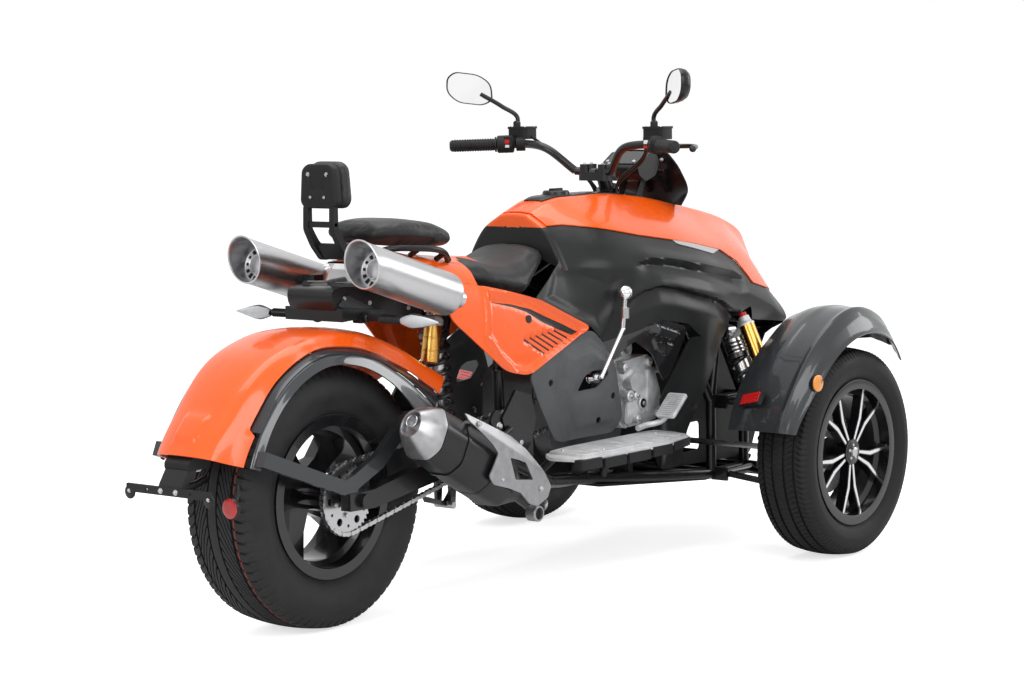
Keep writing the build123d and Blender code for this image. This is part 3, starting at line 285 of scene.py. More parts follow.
ORANGE = paint("orange_lacquer", (0.80, 0.098, 0.005), 0.26, 0.05, 0.4)
CHARCOAL = moulded("charcoal_panel", (0.012, 0.0125, 0.013), 0.36, 2200.0, 0.02, 0.06)
GRAPHITE = paint("graphite_lacquer", (0.024, 0.027, 0.030), 0.30, 0.16, 0.5, 0.35)
GLOSS_BLACK = paint("gloss_black", (0.010, 0.010, 0.011), 0.16, 0.05, 0.6)
GRAINED = moulded("grained_black", (0.009, 0.009, 0.010), 0.52)
SATIN_BLACK = moulded("satin_black", (0.007, 0.007, 0.008), 0.36, 1800.0, 0.03, 0.2)
TUBE_BLACK = paint("tube_black", (0.006, 0.006, 0.007), 0.3, 0.04, 0.15)
WHEEL_BLACK = paint("wheel_black", (0.005, 0.005, 0.006), 0.22, 0.05, 0.4)
SPRING_BLACK = paint("spring_black", (0.012, 0.012, 0.013), 0.3, 0.05, 0.5)
INNER_BAND = paint("arch_band", (0.028, 0.031, 0.035), 0.2, 0.12, 0.8, 0.3)
COVER_GREY = moulded("cover_grey", (0.075, 0.077, 0.080), 0.5, 2000.0, 0.03)
VINYL = hide("seat_hide", (0.009, 0.009, 0.010), 0.48)
TREAD = rubber("tread_rubber", (0.009, 0.009, 0.0095), 0.62)
REAR_TYRE = rubber("rear_tread_rubber", (0.016, 0.016, 0.017), 0.55)
RED_LINE = rubber("red_mould_line", (0.32, 0.03, 0.02), 0.6)
HOSE = rubber("hose_rubber", (0.012, 0.012, 0.012), 0.45, 500.0)
STAINLESS = brushed("brushed_stainless", (0.56, 0.56, 0.57), 0.33, (60.0, 900.0, 900.0), 0.008, 0.92)
STEEL = brushed("turned_steel", (0.55, 0.55, 0.56), 0.30, (500.0, 40.0, 500.0))
BRIGHT = brushed("machined_aluminium", (0.80, 0.80, 0.81), 0.20, (300.0, 300.0, 300.0))
CHROME = brushed("chrome_plate", (0.86, 0.86, 0.87), 0.06, (20.0, 20.0, 20.0))
GOLD = brushed("gold_anodised", (0.66, 0.36, 0.09), 0.24, (60.0, 60.0, 900.0))
MIRROR = brushed("mirror_face", (0.93, 0.93, 0.94), 0.02, (5.0, 5.0, 5.0))
CAST_SILVER = cast("cast_silver", (0.64, 0.65, 0.66), 0.44, 0.5)
CAP_METAL = cast("blasted_cap", (0.42, 0.42, 0.43), 0.34, 0.9, 0.05)
CAST_GREY = cast("cast_grey", (0.34, 0.34, 0.35), 0.36, 0.85, 0.08)
CAST_DARK = cast("cast_dark", (0.12, 0.12, 0.125), 0.5)
RED_PART = moulded("red_switch", (0.55, 0.01, 0.01), 0.3)
WHITE_PART = moulded("white_switch", (0.7, 0.7, 0.7), 0.4)
PALE = lens("lamp_glass", (0.62, 0.64, 0.66), 0.12, 0.15, 260.0)
AMBER = lens("amber_lens", (0.80, 0.28, 0.03), 0.15, 0.0, 420.0)
RED_LENS = lens("red_lens", (0.45, 0.008, 0.008), 0.12, 0.0, 420.0)

# Finishes of the frame nodes that stay in view.
FINISHES = {
    TUBE_BLACK: ("frame", "swingarm", "wishbones", "knuckle_left", "knuckle_right"),
    WHEEL_BLACK: ("rear_rim", "front_rim_left", "front_rim_right"),
    STEEL: ("tie_rod_left", "tie_rod_right"), GRAPHITE: ("fender_stays",), CHARCOAL: ("nose",),
    PALE: ("headlights",), GRAINED: ("belly_pan",), CHROME: ("gear_lever",),
}
for material, nodes in FINISHES.items():
    for node in nodes:
        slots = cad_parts[node].data.materials
        slots.clear()
        slots.append(material)


# Shapes
def unit(way):
    return np.asarray(way, float) / np.linalg.norm(way)


def level(flat, height):
    """Plane points given a third coordinate."""
    return np.column_stack([flat, np.full(len(flat), float(height))])


def at_x(x, flat):
    """(y, z) points given their x."""
    return np.column_stack([np.full(len(flat), float(x)), flat])


def round_points(angle, radius, middle=(0.0, 0.0)):
    """Plane points at angles and a radius about a middle."""
    return np.column_stack([middle[0] + radius * np.cos(angle), middle[1] + radius * np.sin(angle)])


def full_turn(count, start=0.0):
    return np.linspace(0, 2 * np.pi, count, endpoint=False) + start


def circle(centre, radius, count=20):
    return round_points(full_turn(count), radius, centre)


def grid_faces(rows, columns, wrap_rows=False, wrap_columns=False):
    """Quads over a grid of points; a wrapped direction closes on itself."""
    row = np.arange(rows if wrap_rows else rows - 1)
    column = np.arange(columns if wrap_columns else columns - 1)
    r, c = np.meshgrid(row, column, indexing="ij")
    r1, c1 = (r + 1) % rows, (c + 1) % columns
    quads = np.stack([r * columns + c, r * columns + c1, r1 * columns + c1, r1 * columns + c], -1)
    return quads.reshape(-1, 4)


class Build:
    """Collects closed surfaces, each with its material number (pick), into one mesh."""

    def __init__(self):
        self.points, self.faces, self.pick, self.count = [], [], [], 0

    def add(self, points, faces, pick=0):
        points = np.asarray(points, float).reshape(-1, 3)
        self.points.append(points)
        self.faces += [tuple(int(i) + self.count for i in face) for face in faces]
        self.pick += list(pick) if np.ndim(pick) else [pick] * len(faces)
        self.count += len(points)
        return self

    def grid(self, points, pick=0):
        """A skin over rows and columns of points that both close on themselves."""
        return self.add(points, grid_faces(*points.shape[:2], True, True), pick)

    def rings(self, points, pick=0):
        """A skin over closed rings (rings, points, 3), with both ends closed."""
        points = np.asarray(points, float)
        rows, columns = points.shape[:2]
        faces = [tuple(f) for f in grid_faces(rows, columns, False, True)]
        faces += [tuple(range(columns))[::-1], tuple(range((rows - 1) * columns, rows * columns))]
        return self.add(points, faces, pick)

    def join(self, other):
        return self.add(np.concatenate(other.points), other.faces, other.pick)

    def mirrored(self, other):
        """Adds another collection's mirror image across Y = 0."""
        flip = np.concatenate(other.points) * [1.0, -1.0, 1.0]
        return self.add(flip, [face[::-1] for face in other.faces], other.pick)

    def pair(self, other):
        return self.join(other).mirrored(other)

    def painted(self, pick):
        self.pick = [pick] * len(self.faces)
        return self

    def turn(self, profile, origin, axis, sides=48, pick=0):
        """A closed turned part; its profile runs from one end to the other."""
        return self.rings(lathe(profile, origin, axis, sides), pick)

    def ring(self, profile, origin, axis, sides=48, pick=0):
        """A turned part with a hole: its profile closes on itself."""
        return self.grid(lathe(profile, origin, axis, sides), pick)

    def bolt(self, origin, axis, size, pick=0):
        """A hexagon head with a washer and a chamfered crown."""
        washer = [(0, size * 1.35), (size * 0.18, size * 1.35), (size * 0.2, size * 1.1)]
        head = [(0, size), (size * 0.75, size), (size * 0.95, size * 0.82)]
        return self.turn(washer, origin, axis, 20, pick).turn(head, origin, axis, 6, pick)

    def plate(self, outline, thickness, place, pick=0):
        """An outline given thickness; place turns (across, up, out) points into the frame."""
        count = len(outline)
        faces = [tuple(range(count))[::-1], tuple(range(count, 2 * count))]
        faces += [(i, (i + 1) % count, count + (i + 1) % count, count + i) for i in range(count)]
        return self.add(place(np.concatenate([level(outline, 0), level(outline, thickness)])), faces, pick)

    def side(self, outline, corner, arc, thickness, y, pick=0):
        """A plate of (x, z) points with rounded corners that stands on the plane at y."""
        return self.plate(rounded(outline, corner, arc), thickness, side_place(y), pick)

    def sheet(self, outline, thickness, place, holes, pick=0, spacing=400.0):
        """A plate of any outline with holes."""
        flat, faces, _ = net(outline, spacing, holes)
        high, low = place(level(flat, thickness)), place(level(flat, 0))
        return self.join(doubled(high, low, faces, [pick] * len(faces)).painted(pick))

    def rod(self, points, radius, pick=0, sides=14, count=0, soft=False):
        """A round rod along a path; its corners are smoothed where asked for."""
        path = along(points, count, soft) if count else np.asarray(points, float)
        return self.rings(tube(path, radius, sides), pick)

    def slab(self, low, high, pick, corner):
        """A block between two corners whose upright edges are rounded."""
        (x0, y0, z0), (x1, y1, z1) = low, high
        flat = rounded([(x0, y0), (x1, y0), (x1, y1), (x0, y1)], corner)
        return self.rings([level(flat, z) for z in (z0, z1)], pick)


def make(name, build, slot, materials, nodes=(), smooth=38.0, bevel=0.0, body="chassis"):
    """Makes the collected surfaces a piece that rides on a body."""
    mesh = bpy.data.meshes.new(name)
    mesh.from_pydata(to_frame(np.concatenate(build.points)).tolist(), [], build.faces)
    mesh.polygons.foreach_set("material_index", build.pick)
    for material in materials:
        mesh.materials.append(material)
    shape = bmesh.new()
    shape.from_mesh(mesh)
    bmesh.ops.remove_doubles(shape, verts=shape.verts, dist=1e-6)
    bmesh.ops.recalc_face_normals(shape, faces=shape.faces)
    shape.to_mesh(mesh)
    shape.free()
    mesh.shade_smooth()
    thing = bpy.data.objects.new(name, mesh)
    bpy.context.scene.collection.objects.link(thing)
    if bevel:
        edge = thing.modifiers.new("edge", "BEVEL")
        edge.width, edge.segments, edge.limit_method = bevel * MM, 2, "ANGLE"
        edge.angle_limit = np.radians(max(smooth, 30.0))
        edge.harden_normals = True
    elif smooth < 180:
        mesh.set_sharp_from_angle(angle=np.radians(smooth))
    if nodes:
        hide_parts(*nodes)
    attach(thing, body)
    return thing


def pair(name, build, *spec, **more):
    """A left-hand collection and its mirror image as one piece."""
    return make(name, Build().pair(build), *spec, **more)


def hermite(a, b, slope_a, slope_b, t):
    lead = slope_a * t * (1 - t) ** 2 + slope_b * t * t * (t - 1)
    return a * (1 + 2 * t) * (1 - t) ** 2 + b * t * t * (3 - 2 * t) + lead


def between_keys(keys, values, slopes, at):
    """A curve through values at keys, with the given slopes there."""
    i = np.clip(np.searchsorted(keys, at, side="right") - 1, 0, len(keys) - 2)
    width = (keys[i + 1] - keys[i])[:, None]
    t = np.clip((at - keys[i])[:, None] / width, 0.0, 1.0)
    return hermite(values[i], values[i + 1], slopes[i] * width, slopes[i + 1] * width, t)


def curve_through(keys, values, at):
    """Monotone cubic through (key, value) pairs: slopes are harmonic means, so nothing overshoots."""
    keys, values, at = np.asarray(keys, float), np.asarray(values, float), np.asarray(at, float)
    flat = values.reshape(len(keys), -1)
    slope = np.diff(flat, axis=0) / np.diff(keys)[:, None]
    inner = np.zeros_like(flat)
    same = slope[:-1] * slope[1:] > 0
    total = np.where(same, slope[:-1] + slope[1:], 1.0)
    inner[1:-1] = np.where(same, 2 * slope[:-1] * slope[1:] / total, 0.0)
    inner[0], inner[-1] = slope[0], slope[-1]
    return between_keys(keys, flat, inner, at.ravel()).reshape(at.shape + values.shape[1:])


def catmull(points, keys, at):
    """A smooth curve whose slope at each corner is that of the line through its neighbours."""
    return between_keys(keys, points, np.gradient(points, keys, axis=0), at)


def along(points, count, soft=False):
    """Points evenly spaced along a polyline, or along a smooth curve through its corners."""
    points = np.asarray(points, float)
    steps = np.linalg.norm(np.diff(points, axis=0), axis=1)
    keys = np.concatenate([[0.0], np.cumsum(steps)])
    at = np.linspace(0.0, keys[-1], count)
    if soft:
        return catmull(points, keys, at)
    return np.stack([np.interp(at, keys, column) for column in points.T], -1)


def tube(path, radius, sides=12):
    """Rings round a path, carried along it without twist; the radius may differ from point to point."""
    path = np.asarray(path, float)
    ahead = np.gradient(path, axis=0)
    ahead /= np.linalg.norm(ahead, axis=1)[:, None]
    one = [unit(np.cross(ahead[0], UP if abs(ahead[0][2]) < 0.9 else LEFT))]
    for way in ahead[1:]:
        one.append(unit(one[-1] - way * (one[-1] @ way)))
    one = np.array(one)
    two = np.cross(ahead, one)
    angle = full_turn(sides)[None, :, None]
    radius = np.broadcast_to(np.asarray(radius, float), (len(path),))[:, None, None]
    return path[:, None] + radius * (np.cos(angle) * one[:, None] + np.sin(angle) * two[:, None])


def lathe(profile, origin, axis, sides=48):
    """Rings of a profile of (distance along the axis, radius) turned about an axis."""
    axis = unit(axis)
    one = unit(np.cross(axis, UP if abs(axis[2]) < 0.9 else AHEAD))
    angle = full_turn(sides)[:, None]
    ring = np.cos(angle) * one + np.sin(angle) * np.cross(axis, one)
    profile = np.asarray(profile, float)[:, :, None, None]
    return np.asarray(origin, float) + profile[:, 0] * axis + profile[:, 1] * ring[None]


def side_place(y):
    """Outline points of (x, z) on a plane at y, with thickness towards +Y."""
    return lambda p: np.column_stack([p[:, 0], y + p[:, 2], p[:, 1]])


def facing_place(middle, across_way, up_way, out_way):
    """Outline points of (across, up, out) on a plane through a middle."""
    return lambda p: np.asarray(middle) + p @ np.stack([across_way, up_way, out_way])


def rounded(outline, radius, count=4):
    """An outline whose corners are arcs, cut back by at most 0.45 of the shorter side."""
    outline = np.asarray(outline, float)
    out = []
    for i, corner in enumerate(outline):
        back, ahead = outline[i - 1] - corner, outline[(i + 1) % len(outline)] - corner
        cut = min(radius, 0.45 * np.linalg.norm(back), 0.45 * np.linalg.norm(ahead))
        a, b = corner + unit(back) * cut, corner + unit(ahead) * cut
        t = np.linspace(0, 1, count)[:, None]
        out.append(a * (1 - t) ** 2 + 2 * corner * t * (1 - t) + b * t * t)
    return np.concatenate(out)


def box(x0, z0, x1, z1):
    """A four-cornered outline between two opposite corners."""
    return [(x0, z0), (x0, z1), (x1, z1), (x1, z0)]


def symmetric(right):
    """An outline from its right-hand corners and their mirror image."""
    return [*right, *((-y, z) for y, z in right[::-1])]


def distance_inside(x, z, outline):
    """Distance from each point to an outline, positive inside it."""
    points = np.stack([x, z], -1)[..., None, :]
    a = np.asarray(outline, float)
    b = np.roll(a, -1, axis=0)
    way = b - a
    t = np.clip(((points - a) * way).sum(-1) / (way * way).sum(-1), 0, 1)
    gap = np.linalg.norm(points - (a + t[..., None] * way), axis=-1).min(-1)
    px, pz = points[..., 0], points[..., 1]
    crosses = (a[:, 1] > pz) != (b[:, 1] > pz)
    at = a[:, 0] + (pz - a[:, 1]) * way[:, 0] / np.where(way[:, 1] == 0, 1e-9, way[:, 1])
    odd = (crosses & (px < at)).sum(-1) % 2 == 1
    return np.where(odd, gap, -gap)


def step(value, width):
    """0 to 1 as a value passes from 0 to a width."""
    t = np.clip(value / width, 0, 1)
    return t * t * (3 - 2 * t)


def bump(value, width):
    """1 where a value is 0, falling away over a width on both sides."""
    return np.exp(-(value / width) ** 2)


def doubled(outer, inner, faces, chosen):
    """Two skins over one net of faces, joined round every open edge."""
    total, corners = len(outer), faces.shape[1]
    sides = np.concatenate([faces[:, [k, (k + 1) % corners]] for k in range(corners)])
    _, back, count = np.unique(np.sort(sides, 1), axis=0, return_inverse=True, return_counts=True)
    rim = sides[count[back.ravel()] == 1]
    quads = np.column_stack([rim[:, 1], rim[:, 0], rim[:, 0] + total, rim[:, 1] + total])
    every = [tuple(f) for f in faces] + [tuple(f) for f in faces[:, ::-1] + total] + [tuple(q) for q in quads]
    return Build().add(np.concatenate([outer, inner]), every, [*chosen] + [0] * (len(faces) + len(quads)))


def shell(grid, wall, pick=0):
    """An open surface given a wall inwards: the normal comes from the cross product of its two slopes."""
    normal = np.cross(np.gradient(grid, axis=0), np.gradient(grid, axis=1))
    normal /= np.maximum(np.linalg.norm(normal, axis=-1), 1e-9)[..., None]
    faces = grid_faces(*grid.shape[:2])
    chosen = list(pick) if np.ndim(pick) else [pick] * len(faces)
    return doubled(grid.reshape(-1, 3), (grid - normal * wall).reshape(-1, 3), faces, chosen)


def closed(outline, spacing):
    """Points about one spacing apart round a closed outline."""
    loop = np.vstack([outline, outline[:1]]).astype(float)
    sides = zip(loop[:-1], loop[1:], np.linalg.norm(np.diff(loop, axis=0), axis=1))
    return np.concatenate([
        a + (b - a) * np.linspace(0, 1, max(1, int(np.ceil(size / spacing))), endpoint=False)[:, None]
        for a, b, size in sides
    ])


def net(outline, spacing, holes=(), lines=()):
    """A flat triangle net inside an outline, with its edges along the outline, the holes and the lines."""
    loops = [closed(loop, spacing) for loop in (outline, *holes, *lines)]
    edges, start = [], 0
    for loop in loops:
        number = np.arange(len(loop))
        edges += np.column_stack([start + number, start + np.roll(number, -1)]).tolist()
        start += len(loop)
    low, high = np.min(outline, axis=0), np.max(outline, axis=0)
    rows = np.arange(low[1] + spacing / 2, high[1], spacing * 0.87)
    x, z = np.meshgrid(np.arange(low[0], high[0] + spacing, spacing), rows)
    x = x + (np.arange(len(rows)) % 2)[:, None] * spacing / 2
    inner = np.stack([x.ravel(), z.ravel()], -1)
    clear = distance_inside(*inner.T, outline) > spacing * 0.6
    for loop in loops[1:]:
        clear &= np.abs(distance_inside(*inner.T, loop)) > spacing * 0.6
    every = np.concatenate([*loops, inner[clear]])
    got = delaunay_2d_cdt([Vector(p) for p in every.tolist()], edges, [], 0, 1e-4)
    flat, faces = np.array([tuple(p) for p in got[0]]), np.array([f for f in got[2] if len(f) == 3])
    middle = flat[faces].mean(1)
    keep = distance_inside(*middle.T, outline) > 0
    for hole in holes:
        keep &= distance_inside(*middle.T, hole) < 0
    return flat, faces[keep], middle[keep]


# Body surface: per section x, then (y, z) of the crown, colour edge, shoulder, waist, sill and floor, on the left.
BODY = [
    (350, (40, 868), (90, 856), (135, 790), (152, 720), (162, 560), (150, 440)),
    (560, (40, 850), (95, 830), (152, 775), (176, 700), (188, 550), (170, 380)),
    (800, (45, 934), (98, 905), (150, 825), (190, 715), (205, 560), (190, 350)),
    (950, (50, 975), (152, 902), (225, 800), (228, 690), (222, 540), (200, 330)),
    (1100, (55, 976), (196, 872), (270, 775), (264, 670), (248, 520), (220, 235)),
    (1280, (55, 962), (213, 846), (290, 738), (276, 640), (256, 480), (215, 190)),
    (1450, (50, 934), (202, 813), (266, 705), (240, 625), (218, 470), (180, 190)),
    (1640, (45, 896), (174, 772), (248, 646), (190, 590), (160, 480), (140, 230)),
    (1725, (42, 870), (136, 735), (240, 610), (170, 560), (130, 470), (110, 280)),
    (1800, (34, 835), (84, 715), (100, 620), (92, 560), (80, 480), (70, 360)),
    (1852, (22, 765), (40, 700), (46, 640), (42, 590), (36, 540), (30, 480)),
]
BODY_X = np.array([row[0] for row in BODY], float)
BODY_YZ = np.array([row[1:] for row in BODY], float)
FINE = 241  # points down a section where it is cut closely


def across(x, count=121):
    """Points down the left side at each x, from the crown to the floor: monotone cubics along and across."""
    points = curve_through(BODY_X, BODY_YZ, np.asarray(x, float).ravel())
    return np.moveaxis(curve_through(np.arange(6), np.moveaxis(points, 1, 0), np.linspace(0, 5, count)), 0, 1)


def crown_z(x):
    """Height of the body's crown at an x or at several."""
    z = curve_through(BODY_X, BODY_YZ, np.atleast_1d(np.asarray(x, float)))[:, 0, 1]
    return z if np.ndim(x) else float(z[0])


def side_y(x, z):
    """Half width of the body at a height: the section curve is searched for that height."""
    x, z = np.broadcast_arrays(np.asarray(x, float), np.asarray(z, float))
    curve = across(x)
    height = z.ravel()
    i = np.clip((curve[:, :, 1] > height[:, None]).sum(1) - 1, 0, curve.shape[1] - 2)
    rows = np.arange(len(height))
    a, b = curve[rows, i], curve[rows, i + 1]
    share = np.clip((a[:, 1] - height) / np.maximum(a[:, 1] - b[:, 1], 1e-6), 0.0, 1.0)
    return (a[:, 0] + (b[:, 0] - a[:, 0]) * share).reshape(x.shape)


def skin_points(x, z, depth):
    """Points on the left side, sunk by a depth along the body's own normal."""
    y, reach = side_y(x, z), 4.0
    slope_x = (side_y(x + reach, z) - side_y(x - reach, z)) / (2 * reach)
    slope_z = (side_y(x, z + reach) - side_y(x, z - reach)) / (2 * reach)
    length = np.sqrt(1 + slope_x**2 + slope_z**2)
    return np.stack([x + depth * slope_x / length, y - depth / length, z + depth * slope_z / length], -1)


def on_skin(x, z, faces, relief=None, chosen=None, wall=4.0, lift=0.0):
    """A left-hand panel of net points laid on the body's skin and sunk by its relief."""
    x, z = x.ravel(), z.ravel()
    depth = relief(x, z) if relief else np.zeros_like(x)
    outer, inner = skin_points(x, z, depth - lift), skin_points(x, z, depth + wall)
    return doubled(outer, inner, faces, [0] * len(faces) if chosen is None else chosen.astype(int).tolist())


def patch(outline, spacing, relief=None, holes=(), lines=(), pick=None, **more):
    """A left-hand panel of any (x, z) outline."""
    flat, faces, middle = net(outline, spacing, holes, lines)
    return on_skin(*flat.T, faces, relief, pick(*middle.T) if pick else None, **more)


def edge_grid(low, high, columns, rows):
    """A grid between two edges that are given point for point."""
    low, high = np.asarray(low, float), np.asarray(high, float)
    keys = np.concatenate([[0], np.cumsum(np.linalg.norm(np.diff((low + high) / 2, axis=0), axis=1))])
    at = np.unique(np.concatenate([np.linspace(0, keys[-1], columns), keys]))
    bottom, top = (np.stack([np.interp(at, keys, edge[:, k]) for k in (0, 1)], -1) for edge in (low, high))
    t = np.linspace(0, 1, rows)[:, None, None]
    return bottom[None] * (1 - t) + top[None] * t


# Edges of the panels on the left side as (x, z), the lower edge and the upper edge point for point.
COLOUR_EDGE = [
    (821, 911), (870, 912), (960, 900), (1080, 876), (1172, 862), (1300, 842), (1453, 814), (1516, 780),
    (1552, 718), (1640, 698), (1715, 690), (1760, 672), (1800, 655), (1852, 645),
]
FLANK_HIGH = [(675, 742), (798, 822), (812, 860), *COLOUR_EDGE[:11], (1752, 655)]
FLANK_LOW = [
    (676, 738), (740, 709), (800, 681), (859, 653), (901, 611), (1000, 628), (1098, 654), (1200, 636),
    (1260, 597), (1395, 580), (1440, 612), (1534, 655), (1600, 612), (1722, 598), (1756, 640),
]
LIP = [(990, 800), (1010, 811), (1060, 818), (1130, 812), (1293, 783), (1439, 759), (1520, 735)]
ARCH = [
    (960, 700), (978, 713), (1030, 738), (1085, 748), (1150, 738), (1222, 718), (1340, 690), (1472, 643),
    (1530, 615),
]
KNEE = [(765, 818), (869, 812), (975, 785), (950, 700), (890, 640), (700, 735)]


def flank_relief(x, z):
    """Two lips that overhang the arch, each sunk sharply below its line and rising again, and a knee hollow."""
    depth, lead = 9.0 * step(distance_inside(x, z, KNEE), 34.0), 70.0
    for line, deep, back in ((LIP, 15.0, 62.0), (ARCH, 13.0, 46.0)):
        line = np.array(line, float)
        below = np.interp(x, *line.T) - z
        fade = step(x - line[0, 0], lead) * (1 - step(x - line[-1, 0] + lead, lead))
        depth = depth + deep * fade * step(below, 9.0) * (1 - step(below - 9.0, back))
        depth = depth - 5.0 * fade * step(below + 34.0, 34.0) * (1 - step(below, 9.0))
    return depth


flat = edge_grid(FLANK_LOW, FLANK_HIGH, 150, 56)
flank = on_skin(flat[..., 0], flat[..., 1], grid_faces(*flat.shape[:2]), flank_relief)
make("flank_left", flank, "body_grey", [CHARCOAL], ["body_side_left"], 40, 1.2)
make("flank_right", Build().mirrored(flank), "body_grey", [CHARCOAL], ["body_side_right"], 40, 1.2)


def cover_grid(xs, rows, centre_rows, raise_centre=4.0):
    """Rows from the left colour edge over the crown to the right one, for each x."""
    curve = across(xs, FINE)
    w = np.linspace(0, 5, FINE)
    heights = np.interp(xs, *np.array(COLOUR_EDGE, float).T)
    at_edge = np.array([np.interp(-h, -c[:, 1], w) for h, c in zip(heights, curve)])
    wanted = at_edge[None] * np.linspace(1, 0, rows)[:, None]
    left = np.stack([
        np.stack([np.interp(wanted[:, k], w, curve[k, :, a]) for k in range(len(xs))], 1) for a in (0, 1)
    ], -1)
    half = np.linspace(1, 0, centre_rows + 1)[1:, None]
    crown = left[-1]
    middle = np.stack([half * crown[None, :, 0], crown[None, :, 1] + raise_centre * (1 - half ** 2)], -1)
    side = np.concatenate([left, middle])
    full = np.concatenate([side, (side * [-1, 1])[::-1][1:]])
    return np.stack([np.broadcast_to(xs[None], full.shape[:2]), full[..., 0], full[..., 1]], -1)


cover_x = np.unique(np.concatenate([np.linspace(821, 1852, 110), [p[0] for p in COLOUR_EDGE]]))
cover = shell(cover_grid(cover_x, 30, 6)[::-1], 4.0)
make("tank_cover", cover, "body_orange", [ORANGE], ["top_cover"], 60, 1.2)


def tank_rear(rear_x=821, middle_z=862, colour_z=909):
    """The tank's rear wall: its section rounds over a small radius, then closes on a flat face."""
    t = np.linspace(0, 1, 44)[None, :, None]
    curve = across(np.array([rear_x]), FINE)[0]
    left = along(curve[curve[:, 1] > 800], 90)
    middle = np.array([(left[0, 0] * k, left[0, 1] + 4 * (1 - k * k)) for k in np.linspace(0.9, 0.0, 10)])
    half = np.concatenate([middle[::-1], left])
    ring = np.concatenate([(half * [-1, 1])[::-1][:-1], half])[:, None]
    shrink = 1 - t ** 4
    y = ring[..., :1] * shrink
    z = middle_z + (ring[..., 1:] - middle_z) * shrink
    x = np.broadcast_to(rear_x - 20 * np.sin(np.minimum(t * 1.7, 1.0) * np.pi / 2), y.shape)
    grid = np.concatenate([x, y, z], -1)
    face_z = (grid[:-1, :-1, 2] + grid[1:, 1:, 2]) / 2
    return shell(grid, 3.0, (face_z.ravel() < colour_z).astype(int).tolist())


make("tank_tail", tank_rear(), "body_orange", [ORANGE, CHARCOAL], [], 60)

# The strip along the tank, with the filler cap and its grip.
CAP_X = 985.0
CAP_PROFILE = [(-4, 42), (2, 42), (4, 40), (4, 36), (11, 35), (14, 32), (14.6, 16), (14.8, 0.5)]
strip_x = np.linspace(888, 1236, 70)[:, None]
strip_y = np.linspace(-1, 1, 21)[None] * (44 - 14 * ((strip_x - 1062) / 174) ** 4)
strip_z = crown_z(strip_x[:, 0])[:, None] + 7.0 - 4 * (strip_y / 50) ** 2
strip = shell(np.stack([np.broadcast_to(strip_x, strip_y.shape), strip_y, strip_z], -1)[::-1], 4.0)
cap_z = crown_z(CAP_X) + 6.0
strip.turn(CAP_PROFILE, (CAP_X, 0, cap_z), UP)
strip.rings([level(rounded(box(962, -7, 1008, 7), 4, 3), cap_z + height) for height in (13, 20)])
for x in (905.0, 1216.0):
    strip.turn([(0, 5), (2, 4.6), (3, 3)], (x, 0, crown_z(x) + 6.6), UP, 16, 1)
make("tank_strip", strip, "black_trim", [SATIN_BLACK, STAINLESS], smooth=36)


# Trim panels
STRIPE = [
    (502, 746), (584, 734), (652, 716), (707, 692), (766, 668), (816, 645), (794, 638), (738, 660),
    (689, 680), (636, 710), (589, 726), (542, 737),
]
SIDE_INSET = [
    (500, 770), (662, 745), (845, 655), (823, 633), (706, 587), (634, 560), (570, 566), (524, 604), (484, 660),
]
SIDE_OUTLINE = [(358, 716), (371, 804), (480, 786), (675, 738), (857, 653), (612, 551), (537, 567)]


def slats(count=6):
    """Slanted slots, each a thin four-sided outline."""
    share = np.linspace(0, 1, count)[:, None]
    start, end = [620, 641] + share * [114, 14], [691, 599] + share * [89, 33]
    way = (end - start) / np.linalg.norm(end - start, axis=1)[:, None]
    side = np.column_stack([-way[:, 1], way[:, 0]]) * 2.4
    return np.stack([start + side, end + side, end - side, start - side], 1)


CUTS = [STRIPE, *slats()]


def in_cuts(x, z):
    """Whether a point lies inside the stripe or a slot."""
    return np.any([distance_inside(x, z, cut) > 0 for cut in CUTS], axis=0)


def side_relief(x, z):
    """A rolled lip that stands out along the inset's edge, the inset behind it, and cut slots."""
    gap = distance_inside(x, z, SIDE_INSET)
    depth = 8.0 * step(gap - 2, 14.0) - 6.0 * bump(gap + 3, 9.0)
    for cut, deep in zip(CUTS, [1.6] + [5.0] * 6):
        depth = depth + deep * (distance_inside(x, z, cut) >= -0.01)
    return depth


side_lines = [*CUTS, rounded(SIDE_INSET, 18, 4)]
cover = patch(rounded(SIDE_OUTLINE, 26, 5), 7.0, side_relief, (), side_lines, in_cuts)
pair("side_cover_pair", cover, "body_orange", [ORANGE, SATIN_BLACK], ["side_covers"], 32)

LOWER_OUTLINE = [
    (618, 552), (857, 650), (899, 608), (938, 560), (983, 402), (953, 369), (732, 366), (654, 482),
]
WINDOW = [(797, 492), (825, 531), (855, 541), (906, 541), (914, 528), (871, 495)]
POCKET = [(760, 590), (850, 606), (925, 556), (950, 470), (955, 396), (800, 384), (742, 500)]
COVER_HOLES = [rounded(WINDOW, 10, 4), *(circle(at, 9) for at in ((700, 524), (930, 470), (880, 410)))]


def lower_relief(x, z):
    """A pocket raised round the window, with a shallow groove along the rear flange."""
    gap = distance_inside(x, z, POCKET)
    depth = -9.0 * step(gap, 16.0) + 5.0 * step(distance_inside(x, z, WINDOW) + 26, 24.0)
    return depth + 3.0 * bump(gap + 20, 6.0)


lower = patch(rounded(LOWER_OUTLINE, 24, 5), 8.0, lower_relief, COVER_HOLES, [rounded(POCKET, 24, 5)], wall=5.0)
pair("lower_cover_pair", lower, "body_grey", [COVER_GREY], ["lower_covers"], 40)

SHROUD_OUTLINE = [
    (860, 645), (901, 613), (1000, 630), (1098, 656), (1177, 634), (1200, 622), (1180, 560), (1150, 502),
    (1127, 486), (1108, 512), (1071, 566), (1007, 604), (940, 562), (916, 590),
]
VENTS = [
    [(1039, 650), (1162, 612), (1135, 600), (1054, 628)], [(1071, 600), (1142, 582), (1125, 560), (1084, 580)],
]


